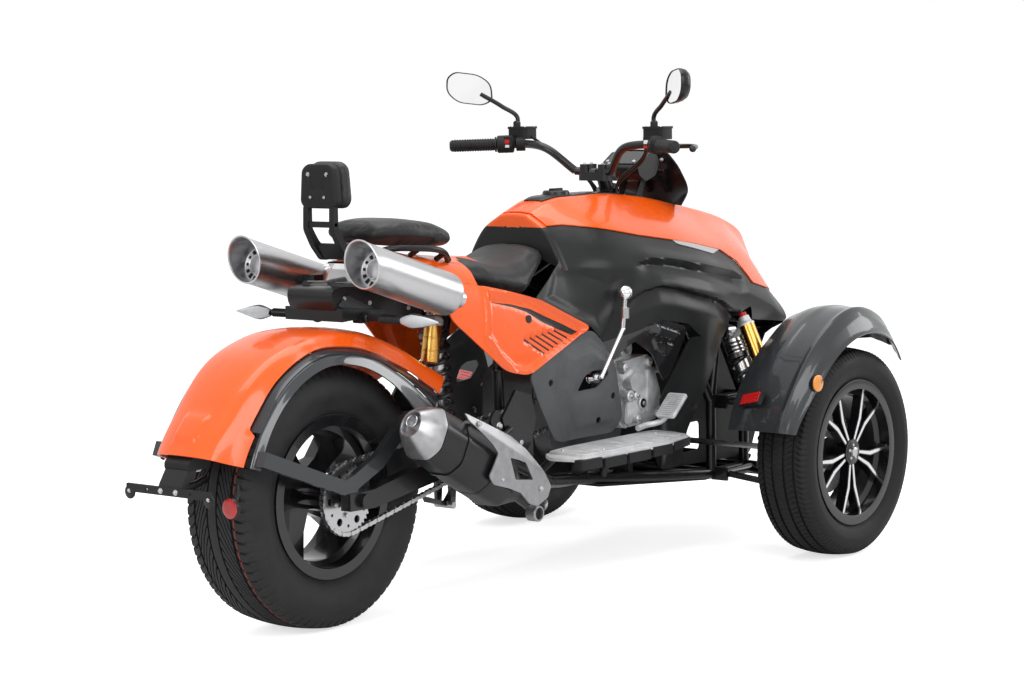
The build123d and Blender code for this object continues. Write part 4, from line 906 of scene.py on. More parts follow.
def shroud_relief(x, z):
    """Each vent stands out towards its rear edge; the rest dips away below a crease."""
    depth = np.zeros_like(x)
    for vent in VENTS:
        rise = np.clip((x - vent[0][0]) / 60 + 0.25, 0, 1)
        depth = depth - 10.0 * step(distance_inside(x, z, vent) + 5, 5.0) * rise
    return depth + 5.0 * step(640 - z - (x - 1000) * 0.05, 60.0)


shroud = patch(rounded(SHROUD_OUTLINE, 8, 3), 6.0, shroud_relief, (), VENTS)
pair("shroud_pair", shroud, "black_gloss", [GLOSS_BLACK], ["shrouds"], 26)

LEG_OUTLINE = [
    (1215, 597), (1260, 597), (1395, 580), (1310, 455), (1240, 345), (1225, 248), (1140, 248), (1112, 440),
    (1152, 502),
]


def leg_relief(x, z):
    """A seam across the panel, and a hollow below it that faces the rider's shin."""
    seam = z - (430 - (x - 1150) * 0.22)
    return 3.0 * bump(seam, 3.0) + 9.0 * step(-seam, 60.0) * step(distance_inside(x, z, LEG_OUTLINE), 40.0)


leg = patch(rounded(LEG_OUTLINE, 14, 4), 7.0, leg_relief)
pair("leg_panel_pair", leg, "body_grey", [CHARCOAL], ["leg_panels"], 34)

NOSE_SIDE = [
    (1722, 600), (1758, 642), (1716, 692), (1800, 655), (1846, 646), (1846, 560), (1800, 530), (1722, 524),
]


def nose_relief(x, z):
    """Level louvres, each a step that fades out at its ends."""
    wave = ((z - 535) / 26.0) % 1.0
    return 5.0 * step(wave, 0.25) * (1 - step(wave - 0.3, 0.7)) * step(distance_inside(x, z, NOSE_SIDE), 22.0)


pair("nose_skin", patch(NOSE_SIDE, 8.0, nose_relief), "body_grey", [CHARCOAL], (), 40)

# The blank plate on the flank, beside the tank.
BADGE = [(1212, 871), (1277, 878), (1464, 834), (1459, 816), (1388, 808), (1220, 845)]
badge = patch(rounded(BADGE, 10, 4), 9.0, wall=1.6, lift=2.2)
pair("flank_plate_pair", badge, "chrome_trim", [STAINLESS], (), 60)


# Wheels
def arc_through(a, b, c, count):
    """Points of the circle through three points, from a to c."""
    a, b, c = (np.asarray(p, float) for p in (a, b, c))
    system = 2 * np.array([b - a, c - a])
    centre = np.linalg.solve(system, [b @ b - a @ a, c @ c - a @ a])
    start, end = (np.arctan2(*(p - centre)[::-1]) for p in (a, c))
    through = np.arctan2(*(b - centre)[::-1])
    turn = (end - start) % (2 * np.pi)
    if (through - start) % (2 * np.pi) > turn:
        turn -= 2 * np.pi
    angle = start + np.linspace(0, turn, count)
    return centre + np.linalg.norm(a - centre) * np.column_stack([np.cos(angle), np.sin(angle)])


BEAD, FLANGE, LINER = 178.0, 195.0, 190.0  # radii of the tyre's bead, the rim's flange and the tyre's inside


def tyre_grid(radius, width, rim_half, tread, period, pattern, shift, stripe=None):
    """A tyre as rows across it and columns round it.

    The rows follow the carcass arcs; tread rows carry (y, depth, share): depth is the depth of a groove that
    runs round the tyre and share the part of the cross-groove pattern cut there. Each column leans by
    shift(|y|) millimetres of arc, so that the cross grooves run along the columns."""
    bead, shoulder, crown, middle = rim_half - 6, width * 0.40, radius - 7, (BEAD + radius) / 2 + 4
    side = arc_through((bead, FLANGE + 2), (width / 2, middle), (shoulder, crown), 18)[:-1]
    side[:, 0] += 1.3 * bump(side[:, 1] - FLANGE - 14, 3.0) + 1.0 * bump(side[:, 1] - middle, 2.2)
    top = arc_through((shoulder, crown), (0, radius), (-shoulder, crown), 121)
    tread = np.asarray(tread, float)
    tread = np.concatenate([tread, tread[::-1][1:] * [-1, 1, 1]])
    base = np.interp(-tread[:, 0], -top[:, 0], top[:, 1])
    lip = [(-bead, BEAD + 0.5), (20 - bead, BEAD + 0.5), (20 - bead, LINER), (bead - 20, LINER)]
    lip.append((bead - 20, BEAD + 0.5))
    back = side[::-1] * [-1, 1]
    profile = np.concatenate([[(bead, BEAD + 0.5)], side, np.column_stack([tread[:, 0], base]), back, lip])
    depth, share = np.zeros((2, len(profile)))
    rows = slice(1 + len(side), 1 + len(side) + len(tread))
    depth[rows], share[rows] = tread[:, 1], tread[:, 2]
    share = np.where((np.abs(profile[:, 0]) > shoulder - 1) & (profile[:, 1] > radius - 22), 0.7, share)
    pattern = np.tile(pattern, period)
    angle = full_turn(len(pattern))[None] + (shift(np.abs(profile[:, 0])) / radius)[:, None]
    r = profile[:, 1:2] - np.maximum(depth[:, None], share[:, None] * pattern[None])
    pick = np.zeros((len(profile), len(pattern)), int)
    if stripe is not None:
        ahead = np.roll(profile[:, 0], -1)
        pick[(profile[:, 0] < stripe + 0.1) & (ahead >= stripe - 1.9) & (ahead < stripe), :] = 1
    y = np.broadcast_to(profile[:, :1], r.shape)
    return np.stack([r * np.cos(angle), y, r * np.sin(angle)], -1), pick.ravel()


def rear_shift(y):
    """Straight near the middle, swept back across the tread, almost straight over the shoulder."""
    return 118 * step(y - 10, 62.0) + 0.10 * np.maximum(y - 60, 0)


def front_shift(y):
    return 5.0 * np.sin(y / 9.0) + 0.12 * np.maximum(y - 55, 0)


REAR_TREAD = [
    (85.2, 0, 1), (80, 0, 1), (72, 0, 1), (65.6, 0, 1), (64.0, 0, 1), (61, 0, 0.9), (60.4, 0, 0.5), (60, 6.5, 0),
    (55, 6.5, 0), (54.6, 0, 0.5), (54, 0, 1), (46, 0, 1), (38, 0, 1), (30, 0, 1), (22, 0, 1), (17.4, 0, 1),
    (17, 0, 0.5), (16.6, 6.5, 0), (12.4, 6.5, 0), (12, 0, 0), (6, 0, 0), (0, 0, 0),
]
REAR_CUT = [5.5, 5.5, 0.3, 0, 0, 0, 0, 0, 0, 0.3]
FRONT_TREAD = [
    (66, 0, 1), (60, 0, 1), (53, 0, 1), (50.4, 0, 0.4), (50, 6, 0), (43, 6, 0), (42.6, 0, 0.3), (41, 0, 0.6),
    (34, 0, 0.7), (27, 0, 0.6), (21.4, 0, 0.3), (21, 6, 0), (14, 6, 0), (13.6, 0, 0.3), (10, 0, 0.4), (4, 0, 0.2),
    (0, 0, 0.2),
]
FRONT_CUT = [4.2, 4.2, 0.2, 0, 0, 0.2]
REAR_AXLE = np.array([0.0, 0.0, REAR_AXLE_Z])
grid, pick = tyre_grid(317, 213, 87.5, REAR_TREAD, 76, REAR_CUT, rear_shift, -64.0)
rear_tyre = Build().grid(grid + REAR_AXLE, pick)
make("rear_tyre_skin", rear_tyre, "tyre_rubber", [REAR_TYRE, RED_LINE], ["rear_tyre"], 34, body="rear_wheel")


def wheel_place(centre, hand, out, turn=0.0):
    """Wheel points of (radial, sideways, outward) from a plane on the axle, turned about it."""
    c, s = np.cos(turn), np.sin(turn)
    return lambda p: centre + np.column_stack(
        [p[:, 0] * c - p[:, 1] * s, hand * (p[:, 2] + out), p[:, 0] * s + p[:, 1] * c])


def spots(angles, radius, size, count):
    """Small round holes at a radius; the radius may differ from hole to hole."""
    radius = np.broadcast_to(radius, np.shape(angles))
    return [circle((r * np.cos(a), r * np.sin(a)), size, count) for a, r in zip(angles, radius)]


def bolts(part, centre, angles, radius, out, axis, size, pick=0):
    for a in angles:
        part.bolt(np.asarray(centre) + [radius * np.cos(a), out, radius * np.sin(a)], axis, size, pick)


FACE = [(34, 3.6), (34, 10.4), (92, 19.6), (164, 47), (165.5, 41), (98, 11.4)]
RIM_LINE = [(69.6, 171.5), (70.8, 173), (71.4, 184), (70.8, 194), (69.6, 194.8), (69.4, 183)]
grid, pick = tyre_grid(280, 165, 70.5, FRONT_TREAD, 112, FRONT_CUT, front_shift)
for side, hand in HANDS:
    body, axis = f"front_wheel_{side}", (0, hand, 0)
    centre = np.array([WHEELBASE, hand * FRONT_WHEEL_Y, FRONT_AXLE_Z])
    tyre = Build().grid(grid + centre, pick)
    make(f"front_tyre_skin_{side}", tyre, "tyre_rubber", [TREAD], [f"front_tyre_{side}"], 34, body=body)
    trim = Build()
    for turn in np.pi / 2 + 2 * np.pi * np.arange(5) / 5:
        for way in (1, -1):
            outline = [(a, way * b) for a, b in FACE][::way]
            trim.plate(outline, 1.6, wheel_place(centre, hand, 53.4, -turn))
        bolts(trim, centre, [turn], 19, hand * 57.5, axis, 4.6, 1)
    trim.turn([(56, 0), (56, 31), (59.5, 29), (60.5, 26), (60.5, 0)], centre, axis, 40, 2)
    trim.turn([(60, 0), (60, 14), (66, 13), (68.5, 9), (69, 0)], centre, axis, 32, 1)
    trim.ring(RIM_LINE, centre, axis, 96, 2)
    trim.turn([(40, 3.4), (68, 3.4), (69, 0.4)], centre + [158.0, 0, 0], axis, 10, 2)
    make(f"front_wheel_trim_{side}", trim, "brushed", [BRIGHT, STEEL, WHEEL_BLACK], (), 30, 0.5, body)
    holes = [circle((0, 0), 52, 60), *spots(full_turn(24), 84 + 12 * (np.arange(24) % 3), 4.2, 10),
             *spots(np.arange(8) * np.pi / 4 + 0.2, 64, 6.0, 12)]
    angle = full_turn(160)
    wavy = round_points(angle, 120.5 + 1.5 * np.cos(10 * angle))
    disc = Build().sheet(wavy, 5.0, wheel_place(centre, hand, -30.5), holes)
    disc.ring(box(-31, 34, -27.6, 57), centre, axis, 60, 1)
    bolts(disc, centre, np.arange(5) * 2 * np.pi / 5, 45, hand * -31, (0, -hand, 0), 5.0)
    make(f"front_disc_plate_{side}", disc, "steel", [STEEL, CAST_DARK], [f"front_disc_{side}"], 30, body=body)

holes = [circle((0, 0), 22, 40), *spots(full_turn(20), 74 + 10 * (np.arange(20) % 3), 4.2, 10)]
disc = Build().sheet(circle((0, 0), 104.5, 128), 5.0, wheel_place(REAR_AXLE, 1, 106.0), holes)
disc.ring(box(100, 21, 106, 44), REAR_AXLE, LEFT, 48, 1)
make("rear_disc_plate", disc, "steel", [STEEL, CAST_DARK], ["rear_disc"], 30, body="rear_wheel")

CHAIN_TEETH, TOOTH_ROOT, TOOTH_TIP = 40, 77.5, 84.0
tooth = np.tile([0.0, 0.08, 0.75, 1.0, 0.75, 0.08], CHAIN_TEETH)
toothed = round_points(full_turn(len(tooth)), TOOTH_ROOT + (TOOTH_TIP - TOOTH_ROOT) * tooth)
sixths = np.arange(6) * np.pi / 3
holes = [circle((0, 0), 26, 40), *spots(sixths, 60, 9.5, 16), *spots(sixths + np.pi / 6, 64, 4, 10)]
chain_wheel = Build().sheet(toothed, 5.6, wheel_place(REAR_AXLE, -1, 127.2), holes)
chain_wheel.ring(box(127, 27, 119, 46), REAR_AXLE, RIGHT, 48, 1)
bolts(chain_wheel, REAR_AXLE, sixths + 0.3, 38, -132.8, RIGHT, 6.0)
make("chain_wheel", chain_wheel, "steel", [STEEL, CAST_DARK], ["rear_sprocket"], 30, body="rear_wheel")


# Fenders: angle about the rear axle, half-width at the edge, radius at the crest, at the edge and at the lip.
REAR_FENDER = np.array([
    (31, 120, 486, 408, 292), (42, 120, 440, 378, 291), (65, 120, 404, 352, 300), (87, 120, 393, 356, 318),
    (107, 120, 397, 368, 335), (125, 119, 408, 368, 339), (142, 114, 410, 360, 338), (161, 108, 437, 364, 334),
], float)
LIP_Y = 160.0


def round_axle(angle, y, radius, centre=(0.0, REAR_AXLE_Z)):
    """Points at an angle and radius about an axle, at a distance y across."""
    a = np.radians(angle)
    x, z = centre[0] + radius * np.cos(a), centre[1] + radius * np.sin(a)
    return np.stack([x, np.broadcast_to(y, radius.shape), z], -1)


def fender_grid():
    """The rear fender's back: rows across it from the left edge to the right, columns along it."""
    angle = np.linspace(31, 161, 96)
    edge_y, crest, edge, _ = curve_through(REAR_FENDER[:, 0], REAR_FENDER[:, 1:], angle).T
    share = curve_through([0, 1, 2, 3], [0.0, 0.28, 0.73, 1.0], np.linspace(0, 3, 25))
    side = (crest + edge) / 2 + (crest - edge) * 0.32
    rise = curve_through([0.0, 0.28, 0.73, 1.0], np.stack([crest + 1, crest, side, edge]), share)
    last = step(share - 0.93, 0.07)[:, None] * step(angle - 147.0, 1.2)[None]
    half = round_axle(angle[None], share[:, None] * edge_y[None] + last * 15, rise - last * 11)
    pad = step(146 - angle, -2.5)[None] * step(angle - 157.5, -2.5)[None] * step(share[:, None] - 0.31, -0.035)
    half = half + pad[..., None] * 7.0 * round_axle(angle, 0.0, np.ones_like(angle), (0.0, 0.0))[None]
    return np.concatenate([half[::-1], (half * [1, -1, 1])[1:]])


back = shell(fender_grid(), 4.0)
make("rear_fender_skin", back, "body_orange", [ORANGE], ["rear_fender"], 44, 1.0)


def arch_band(last, low_share, high_share, lift):
    """A band of the arch beside the rear tyre, between two shares of the way from the fender to the lip."""
    angle = np.linspace(31, last, 90)
    edge_y, _, edge, lip = curve_through(REAR_FENDER[:, 0], REAR_FENDER[:, 1:], angle).T
    keys, t = [0, 0.6, 1.0], np.linspace(low_share, high_share, 12)
    widths = [edge_y - 1.5, np.full_like(angle, LIP_Y - 12), np.full_like(angle, LIP_Y)]
    y = curve_through(keys, np.stack(widths), t)
    r = curve_through(keys, np.stack([edge - 1.5, (edge + lip) / 2 + 6, lip]), t)
    return round_axle(angle[None], y + lift, r + lift)


arch = shell(arch_band(147.5, 0.0, 0.56, 0.0), 3.5).join(shell(arch_band(161, 0.56, 1.0, -2.5), 3.5).painted(1))
make("arch_left", arch, "graphite", [GRAPHITE, INNER_BAND], ["fender_arches"], 40, 0.8)
make("arch_right", Build().mirrored(arch), "graphite", [GRAPHITE, INNER_BAND], (), 40, 0.8)

# Angle about the front axle, then (y from the wheel's middle, radius) of inner edge, crest, ridge and lip.
FRONT_ANGLE = [54, 72, 92, 115, 140, 165]
FRONT_FENDER = [
    ((-96.5, 338), (-21.5, 352), (61.5, 330), (103.5, 288)),
    ((-114.5, 372), (-24.5, 386), (65.5, 372), (109.5, 314)),
    ((-120.5, 358), (-28.5, 386), (69.5, 384), (111.5, 322)),
    ((-128.5, 322), (-36.5, 366), (69.5, 370), (109.5, 318)),
    ((-138.5, 306), (-50.5, 344), (59.5, 350), (97.5, 308)),
    ((-140.5, 306), (-62.5, 326), (33.5, 332), (69.5, 312)),
]


def front_fender_grid():
    """The left front fender: columns along it, rows from the inner edge over the ridge to the lip."""
    angle, share = np.linspace(54, 165, 72), np.linspace(0, 3, 46)
    rows = curve_through(FRONT_ANGLE, FRONT_FENDER, angle)
    y, r = np.moveaxis(curve_through([0, 1, 2, 3], np.moveaxis(rows, 1, 0), share), -1, 0)
    share = share[:, None]
    crease = 3.5 * bump(share - 2.0, 0.09) - 3.0 * bump(share - 2.3, 0.16)
    fold = 2.5 * bump(share - 1.15, 0.12) * step(150 - angle[None], 30.0)
    lip = 2.5 * step(share - 2.86, 0.14)
    return round_axle(angle[None], FRONT_WHEEL_Y + y + lip, r + crease + fold, (WHEELBASE, FRONT_AXLE_Z))


fender = shell(front_fender_grid()[::-1], 4.0)
for side, hand in HANDS:
    part = Build().join(fender) if hand > 0 else Build().mirrored(fender)
    amber = (WHEELBASE - 238, hand * (FRONT_WHEEL_Y + 95.5), 492.0)
    part.turn([(-32, 7), (-2, 7), (0, 24), (2.4, 25), (2.6, 22)], amber, (0, hand, 0), 32, 1)
    part.turn([(2.2, 22), (7.0, 21.6), (8.0, 19), (8.4, 0.5)], amber, (0, hand, 0), 32, 2)
    finishes, body = [GRAPHITE, SATIN_BLACK, AMBER], f"knuckle_{side}_body"
    make(f"front_fender_skin_{side}", part, "graphite", finishes, [f"front_fender_{side}"], 42, 0.8, body)


# Seats
def cushion(xs, plan, top, bottom, rows, power, end_round):
    """A seat pad: at each x a ring whose upper half is a superellipse and whose underside is nearly flat.

    Half-width, top and bottom come from curves along x; both ends close over a rounded lip."""
    t = np.linspace(0, np.pi, rows)
    ends = np.minimum(xs - xs[0], xs[-1] - xs) / end_round
    close_up = np.sqrt(np.clip(1 - (1 - np.clip(ends, 0, 1)) ** 2, 0.0, 1))[:, None]
    half, high, low = (curve(xs)[:, None] for curve in (plan, top, bottom))
    middle, half = low + (high - low) * 0.35, half * (0.72 + 0.28 * close_up)
    under = np.linspace(1, -1, rows)[1:-1]
    y = np.concatenate([half * np.sign(np.cos(t)) * np.abs(np.cos(t)) ** (2 / power), half * -under], 1)
    lift = middle + (high - middle) * np.sin(t) ** (2 / power) * close_up
    z = np.concatenate([lift, middle - (middle - low) * (1 - np.abs(under) ** 6) * close_up], 1)
    return np.stack([np.broadcast_to(xs[:, None], y.shape), y, z], -1)


def through(*points):
    keys, values = np.asarray(points, float).T
    return lambda x: curve_through(keys, values, x)


def mesh_points(mesh):
    points = np.empty(len(mesh.vertices) * 3)
    mesh.vertices.foreach_get("co", points)
    return points.reshape(-1, 3)


def as_shown(thing):
    """The mesh that the object's modifiers give now."""
    graph = bpy.context.evaluated_depsgraph_get()
    return bpy.data.meshes.new_from_object(thing.evaluated_get(graph), depsgraph=graph)


def puffed(thing, voxel, pressure, reach, frames=20, grip=0.006):
    """Cloth held by its lowest points and blown up from inside, its travel capped, left as a plain mesh."""
    materials, modifiers, scene = list(thing.data.materials), thing.modifiers, bpy.context.scene
    remesh = modifiers.new("even", "REMESH")
    remesh.mode, remesh.voxel_size = "VOXEL", voxel * MM
    thing.data = as_shown(thing)
    modifiers.clear()
    rest = mesh_points(thing.data)
    held = thing.vertex_groups.new(name="held")
    held.add(np.flatnonzero(rest[:, 2] < rest[:, 2].min() + grip).tolist(), 1.0, "REPLACE")
    cloth = modifiers.new("cloth", "CLOTH")
    how = cloth.settings
    how.quality, how.mass, how.bending_stiffness = 5, 0.3, 0.6
    how.tension_stiffness = how.compression_stiffness = 8
    how.use_pressure, how.uniform_pressure_force = True, pressure
    how.effector_weights.gravity, how.vertex_group_mass = 0, "held"
    cloth.point_cache.frame_start, cloth.point_cache.frame_end = 1, frames
    for number in range(1, frames + 1):
        scene.frame_set(number)
    way = mesh_points(as_shown(thing)) - rest
    far = np.linalg.norm(way, axis=1)
    way *= (np.minimum(far, reach * MM) / np.maximum(far, 1e-9))[:, None]
    modifiers.clear()
    thing.vertex_groups.clear()
    scene.frame_set(1)
    thing.data.vertices.foreach_set("co", (rest + way).ravel())
    thing.data.materials.clear()
    for material in materials:
        thing.data.materials.append(material)
    thing.data.shade_smooth()
    finer = modifiers.new("finer", "SUBSURF")
    finer.levels = finer.render_levels = 1


def rider_bottom(x):
    """The underside follows the body's saddle, then the flank's rear edge up to the tank."""
    return np.interp(x, [482, 520, 675, 792, 806], [782, 771, 738, 815, 838])


pillion = cushion(
    np.linspace(172, 450, 70), through((172, 80), (214, 97), (300, 106), (384, 106), (436, 96), (450, 86)),
    through((172, 946), (196, 953), (262, 956), (355, 947), (432, 930), (450, 922)),
    lambda x: 902 - 0.106 * (x - 250), 44, 3.4, 16.0,
)
rider = cushion(
    np.linspace(482, 806, 84), through((482, 104), (560, 142), (650, 150), (740, 128), (806, 98)),
    through((482, 852), (520, 848), (560, 834), (621, 824), (690, 829), (743, 845), (790, 866), (806, 866)),
    rider_bottom, 48, 3.0, 26.0,
)
PAD_MIDDLE = np.array([0.0, 1049.0])
PAD_OUTLINE = rounded(symmetric([(50, 992), (62, 1008), (55, 1090), (38, 1104)]), 22, 8)
SHELL_EDGE = rounded(symmetric([(47, 993), (60, 1006), (54, 1086), (36, 1099)]), 12, 6)


def pad_rings():
    """Rings that grow from a pole on the back to the outline and shrink to a pole on the front."""
    t = np.linspace(0.02, np.pi - 0.02, 30)
    depth = 107.5 - 22.5 * np.sign(np.cos(t)) * np.abs(np.cos(t)) ** 0.8
    flat = PAD_MIDDLE + (PAD_OUTLINE - PAD_MIDDLE)[None] * (np.abs(np.sin(t)) ** 0.42)[:, None, None]
    return np.concatenate([np.broadcast_to(depth[:, None, None], (*flat.shape[:2], 1)), flat], -1)


# Each pad: name, rings, the node it stands for, then voxel size, pressure and cap of its swell.
for name, rings, node, swell in (
    ("pillion_pad", pillion, "passenger_seat", (5.0, 3.0, 5.0)),
    ("rider_pad", rider, "rider_seat", (5.0, 3.0, 6.0)),
    ("backrest_cushion", pad_rings(), "backrest_pad", (4.5, 4.0, 5.0)),
):
    thing = make(name, Build().rings(rings), "seat_vinyl", [VINYL], [node], 180)
    puffed(thing, *swell)


# Backrest shell and posts
def shell_rings():
    """The backrest's shell: its rear face bows out and is pressed in along a V."""
    t = np.linspace(0.0, 1.0, 26)
    scale = np.maximum(np.sin(t * np.pi / 2) ** 0.5, 0.01)[:, None, None]
    ring = PAD_MIDDLE + (SHELL_EDGE - PAD_MIDDLE)[None] * scale
    vee = np.abs(np.abs(ring[..., 0]) - (ring[..., 1] - 1006) * 0.42)
    press = 3.0 * bump(vee, 3.0) * (ring[..., 1] > 1012) * (ring[..., 1] < 1080)
    x = 62.5 + 9.0 * (t[:, None] ** 3) + press
    return np.concatenate([np.concatenate([x[..., None], ring], -1), at_x(84.0, SHELL_EDGE)[None]])


WINDOWED = [
    (66, 1000), (64, 942), (88, 900), (118, 866), (176, 868), (178, 884), (128, 892), (102, 914), (80, 946),
    (80, 1000),
]
TIE = [(100, 910), (126, 889), (178, 882), (176, 868), (118, 868), (92, 904)]
rest = Build().rings(shell_rings())
for hand in (1, -1):
    rest.side(WINDOWED, 7, 3, 16, hand * 42 - 8)
    for y, z in ((22, 1020), (30, 1074)):
        rest.bolt((64, hand * y, z), BACK, 4.2, 1)
    for x, z in ((130, 878), (164, 876)):
        rest.bolt((x, hand * 50, z), (0, hand, 0), 5.0, 1)
cross_bar = rounded([(-50, 948), (50, 948), (50, 962), (-50, 962)], 3, 3)
rest.plate(cross_bar, 10, facing_place((67, 0, 0), LEFT, UP, AHEAD))
rest.side(TIE, 4, 3, 84, -42)
make("backrest_frame", rest, "black_trim", [GRAINED, STEEL], ["backrest_bracket"], 36, 1.4)


# Silencers
def local_frame(origin, slope, hand):
    """Points of (along, up, outboard) for a can that slopes down forward on one side, in any grid."""
    c, s = np.cos(np.radians(slope)), np.sin(np.radians(slope))
    turn = np.array([[c, 0, -s], [s, 0, c], [0, hand, 0]])
    return lambda p: np.asarray(origin, float) + np.asarray(p, float) @ turn


CAN_LONG, CAN_BAFFLE, CAN_WIDER, CAN_SLOPE, CAN_SLASH = 325.0, 44.0, 1.08, 17, 24
# Down the can's skin: distance from the mouth, radius, and how far the ring leans into the slash plane.
CAN_ROWS = [
    (CAN_BAFFLE, 0.5, 0), (CAN_BAFFLE, 30, 0), (CAN_BAFFLE, 45, 0), (CAN_BAFFLE - 2, 46, 0), (20, 46, 0.5),
    (0, 46, 1), (-2.2, 47, 1), (-2.6, 48.6, 1), (-1.6, 50.2, 1), (1, 50.4, 1), (4, 49.6, 1), (30, 49, 0.5),
    (100, 49, 0), (CAN_LONG - 26, 49, 0), (CAN_LONG - 19, 48, 0), (CAN_LONG, 23, 0), (CAN_LONG + 30, 22, 0),
    (CAN_LONG + 31, 0.5, 0),
]
CAN_CORE = [(CAN_BAFFLE - 12, 21), (CAN_BAFFLE - 13, 22.5), (CAN_BAFFLE - 12, 24), (150, 24), (150, 21)]
CAN_BAND = [(296, 50.4), (298, 51.5), (306, 51.5), (308, 50.4), (308, 48), (296, 48)]
SLOT = np.array([(29, -2.6), (41, -3.8), (41, 3.8), (29, 2.6)])


def can_skin():
    """Baffle, inner wall, slash-cut lip, outer wall and front cone as rings."""
    angle = full_turn(72)
    x, r, slant = np.array(CAN_ROWS, float).T[..., None]
    r = np.where(r > 40, r * CAN_WIDER, r)
    up = r * np.sin(angle)
    return np.stack([x + slant * (-10 - np.tan(np.radians(CAN_SLASH)) * up), up, r * np.cos(angle)], -1)


def upper_can(hand):
    place = local_frame((14, hand * 190, 867), CAN_SLOPE, hand)
    middle = place((0, 0, 0))
    way = place(AHEAD) - middle
    can = Build().rings(place(can_skin()))
    can.ring(CAN_CORE, middle, way, 40, 1).turn([(CAN_BAFFLE + 10, 20.5), (150, 20.5)], middle, way, 30, 2)
    for a in 2 * np.pi * np.arange(14) / 14:
        out, along_rim = np.array([0, np.sin(a), np.cos(a)]), np.array([0, np.cos(a), -np.sin(a)])
        slot = facing_place((CAN_BAFFLE - 3, 0, 0), out, along_rim, AHEAD)
        can.plate(SLOT, 3, lambda p: place(slot(p)), 2)
    low = np.radians(-38)
    for x in 150 + 36 * np.arange(4):
        at = place((x, 49 * np.sin(low), 49 * np.cos(low)))
        can.turn([(-1, 5), (0.8, 4.6), (2.2, 3), (2.8, 0.4)], at, at - place((x, 0, 0)), 14, 1)
    can.ring(CAN_BAND, middle, way, 72, 1)
    inner, outer = sorted((99 * hand, 150 * hand))
    strap = rounded([(150, inner), (190, inner), (190, outer), (150, outer)], 4, 3)
    return can.plate(strap, 14, facing_place((0, 0, 812), AHEAD, LEFT, UP), 3)


for side, hand in HANDS:
    finishes, nodes = [STAINLESS, STEEL, GRAINED, SATIN_BLACK], ["upper_silencers"] if hand > 0 else ()
    make(f"upper_can_{side}", upper_can(hand), "brushed", finishes, nodes, 30)


def can_ring(x, half_out, half_up, corner, scale=1.0, round_by=14):
    """The eight-sided section of the lower silencer at x, its corners rounded."""
    half = [(half_up, corner), (half_up * 0.35, half_out), (-half_up * 0.55, half_out), (-half_up, corner)]
    outline = np.array(half + [(u, -o) for u, o in half[::-1]], float) * scale
    return at_x(x, rounded(outline, round_by * scale, 5))


# Distance along the can, half width, half height, corner and scale of each ring; the cap's rings come first.
CAP_RINGS = 9
CAP_TABLE = [
    (12, 32, 36, 16, 0.02), (12, 32, 36, 16, 0.66), (3, 32, 36, 16, 0.78), (-1, 32, 36, 16, 0.84),
    (-1, 32, 36, 16, 0.92), (4, 33, 37, 17, 1.0), (30, 47, 53, 24, 1.0), (58, 57.5, 65.5, 30, 1.0),
    (62, 58, 66, 30, 1.0), (62.5, 58, 66, 30, 0.97), (64.5, 58, 66, 30, 0.97), (65, 58, 66, 30, 1.0),
    (120, 59.5, 68, 31, 1.0), (200, 61, 70.5, 32, 1.0), (345, 62, 72, 32, 1.0), (356, 59, 68, 31, 1.0),
    (430, 26, 28, 14, 1.0), (438, 22, 24, 12, 0.9), (438, 22, 24, 12, 0.02),
]
SHIELD = [
    (96, 72), (175, 80), (281, 89), (353, 83), (430, 60), (479, 38), (480, 8), (450, -26), (418, -33),
    (372, -22), (320, -30), (264, -43), (240, -32), (247, 30), (215, 42), (163, 52), (112, 60),
]
SHIELD_WINDOW = [(292, 38), (352, 51), (402, 24), (336, -2)]
HEADER = [(566, -252, 227), (650, -200, 222), (760, -70, 238), (1090, -40, 256), (1160, -40, 320), (1134, -40, 440)]
low_place = local_frame((72, -272, 497), 29, -1)


def shield_place(p):
    """The guard follows the can: it bows outboard along its middle and turns in at its upper edge."""
    bow = 66 + p[:, 2] - 10 * step(p[:, 1] - 56, 30.0) + 5 * np.sin((p[:, 0] - 96) / 384 * np.pi)
    return low_place(level(p[:, :2], 0) + np.outer(bow, UP))


can = Build().rings(low_place(np.stack([can_ring(*row) for row in CAP_TABLE])))
sides = (len(can.faces) - 2) // (len(CAP_TABLE) - 1)
can.pick = [int(i // sides >= CAP_RINGS) for i in range(len(can.faces) - 2)] + [0, 1]
mouth = low_place((0, 6, 0))
way = low_place((1, 6, 0)) - mouth
can.ring([(-1, 13.5), (-2, 15), (-1, 16.5), (20, 17), (20, 13.5)], mouth, way, 32, 2)
can.turn([(14, 13.6), (30, 13.6)], mouth, way, 24, 3)
can.rod(low_place(along([(425, 0, 0), (470, 2, -8), (565, 4, -20)], 12, True)), 20, 1, 24)
can.sheet(rounded(SHIELD, 6, 3), 3.6, shield_place, [rounded(SHIELD_WINDOW, 5, 3)], 4, 9.0)
for x, up in ((290, -20), (441, 16), (150, 66)):
    can.bolt(low_place((x, up, 72)), RIGHT, 5.2, 2)
    can.turn([(-40, 7), (-2, 7)], low_place((x, up, 70)), RIGHT, 16, 2)
end = low_place((486, -34, 26))
can.ring([(0, 20), (26, 20), (28, 18.5), (28, 15), (18, 14), (0, 14)], end, RIGHT, 32, 4)
can.turn([(10, 14), (20, 14)], end, RIGHT, 24, 3)
can.rod(HEADER, 16, 2, 20, 60, True)
can.rod([(385, -236, 392), (530, -204, 428), (530, -196, 428)], 7, 1, 14, 12)
for x in (150, 268):
    can.rings(low_place([can_ring(x + half, 62.7, 71.7, 32.5) for half in (-5, 5)]), 1)
finishes = [CAP_METAL, SATIN_BLACK, STEEL, GRAINED, CAST_GREY]
make("lower_can", can, "black_gloss", finishes, ["lower_silencer"], 26)


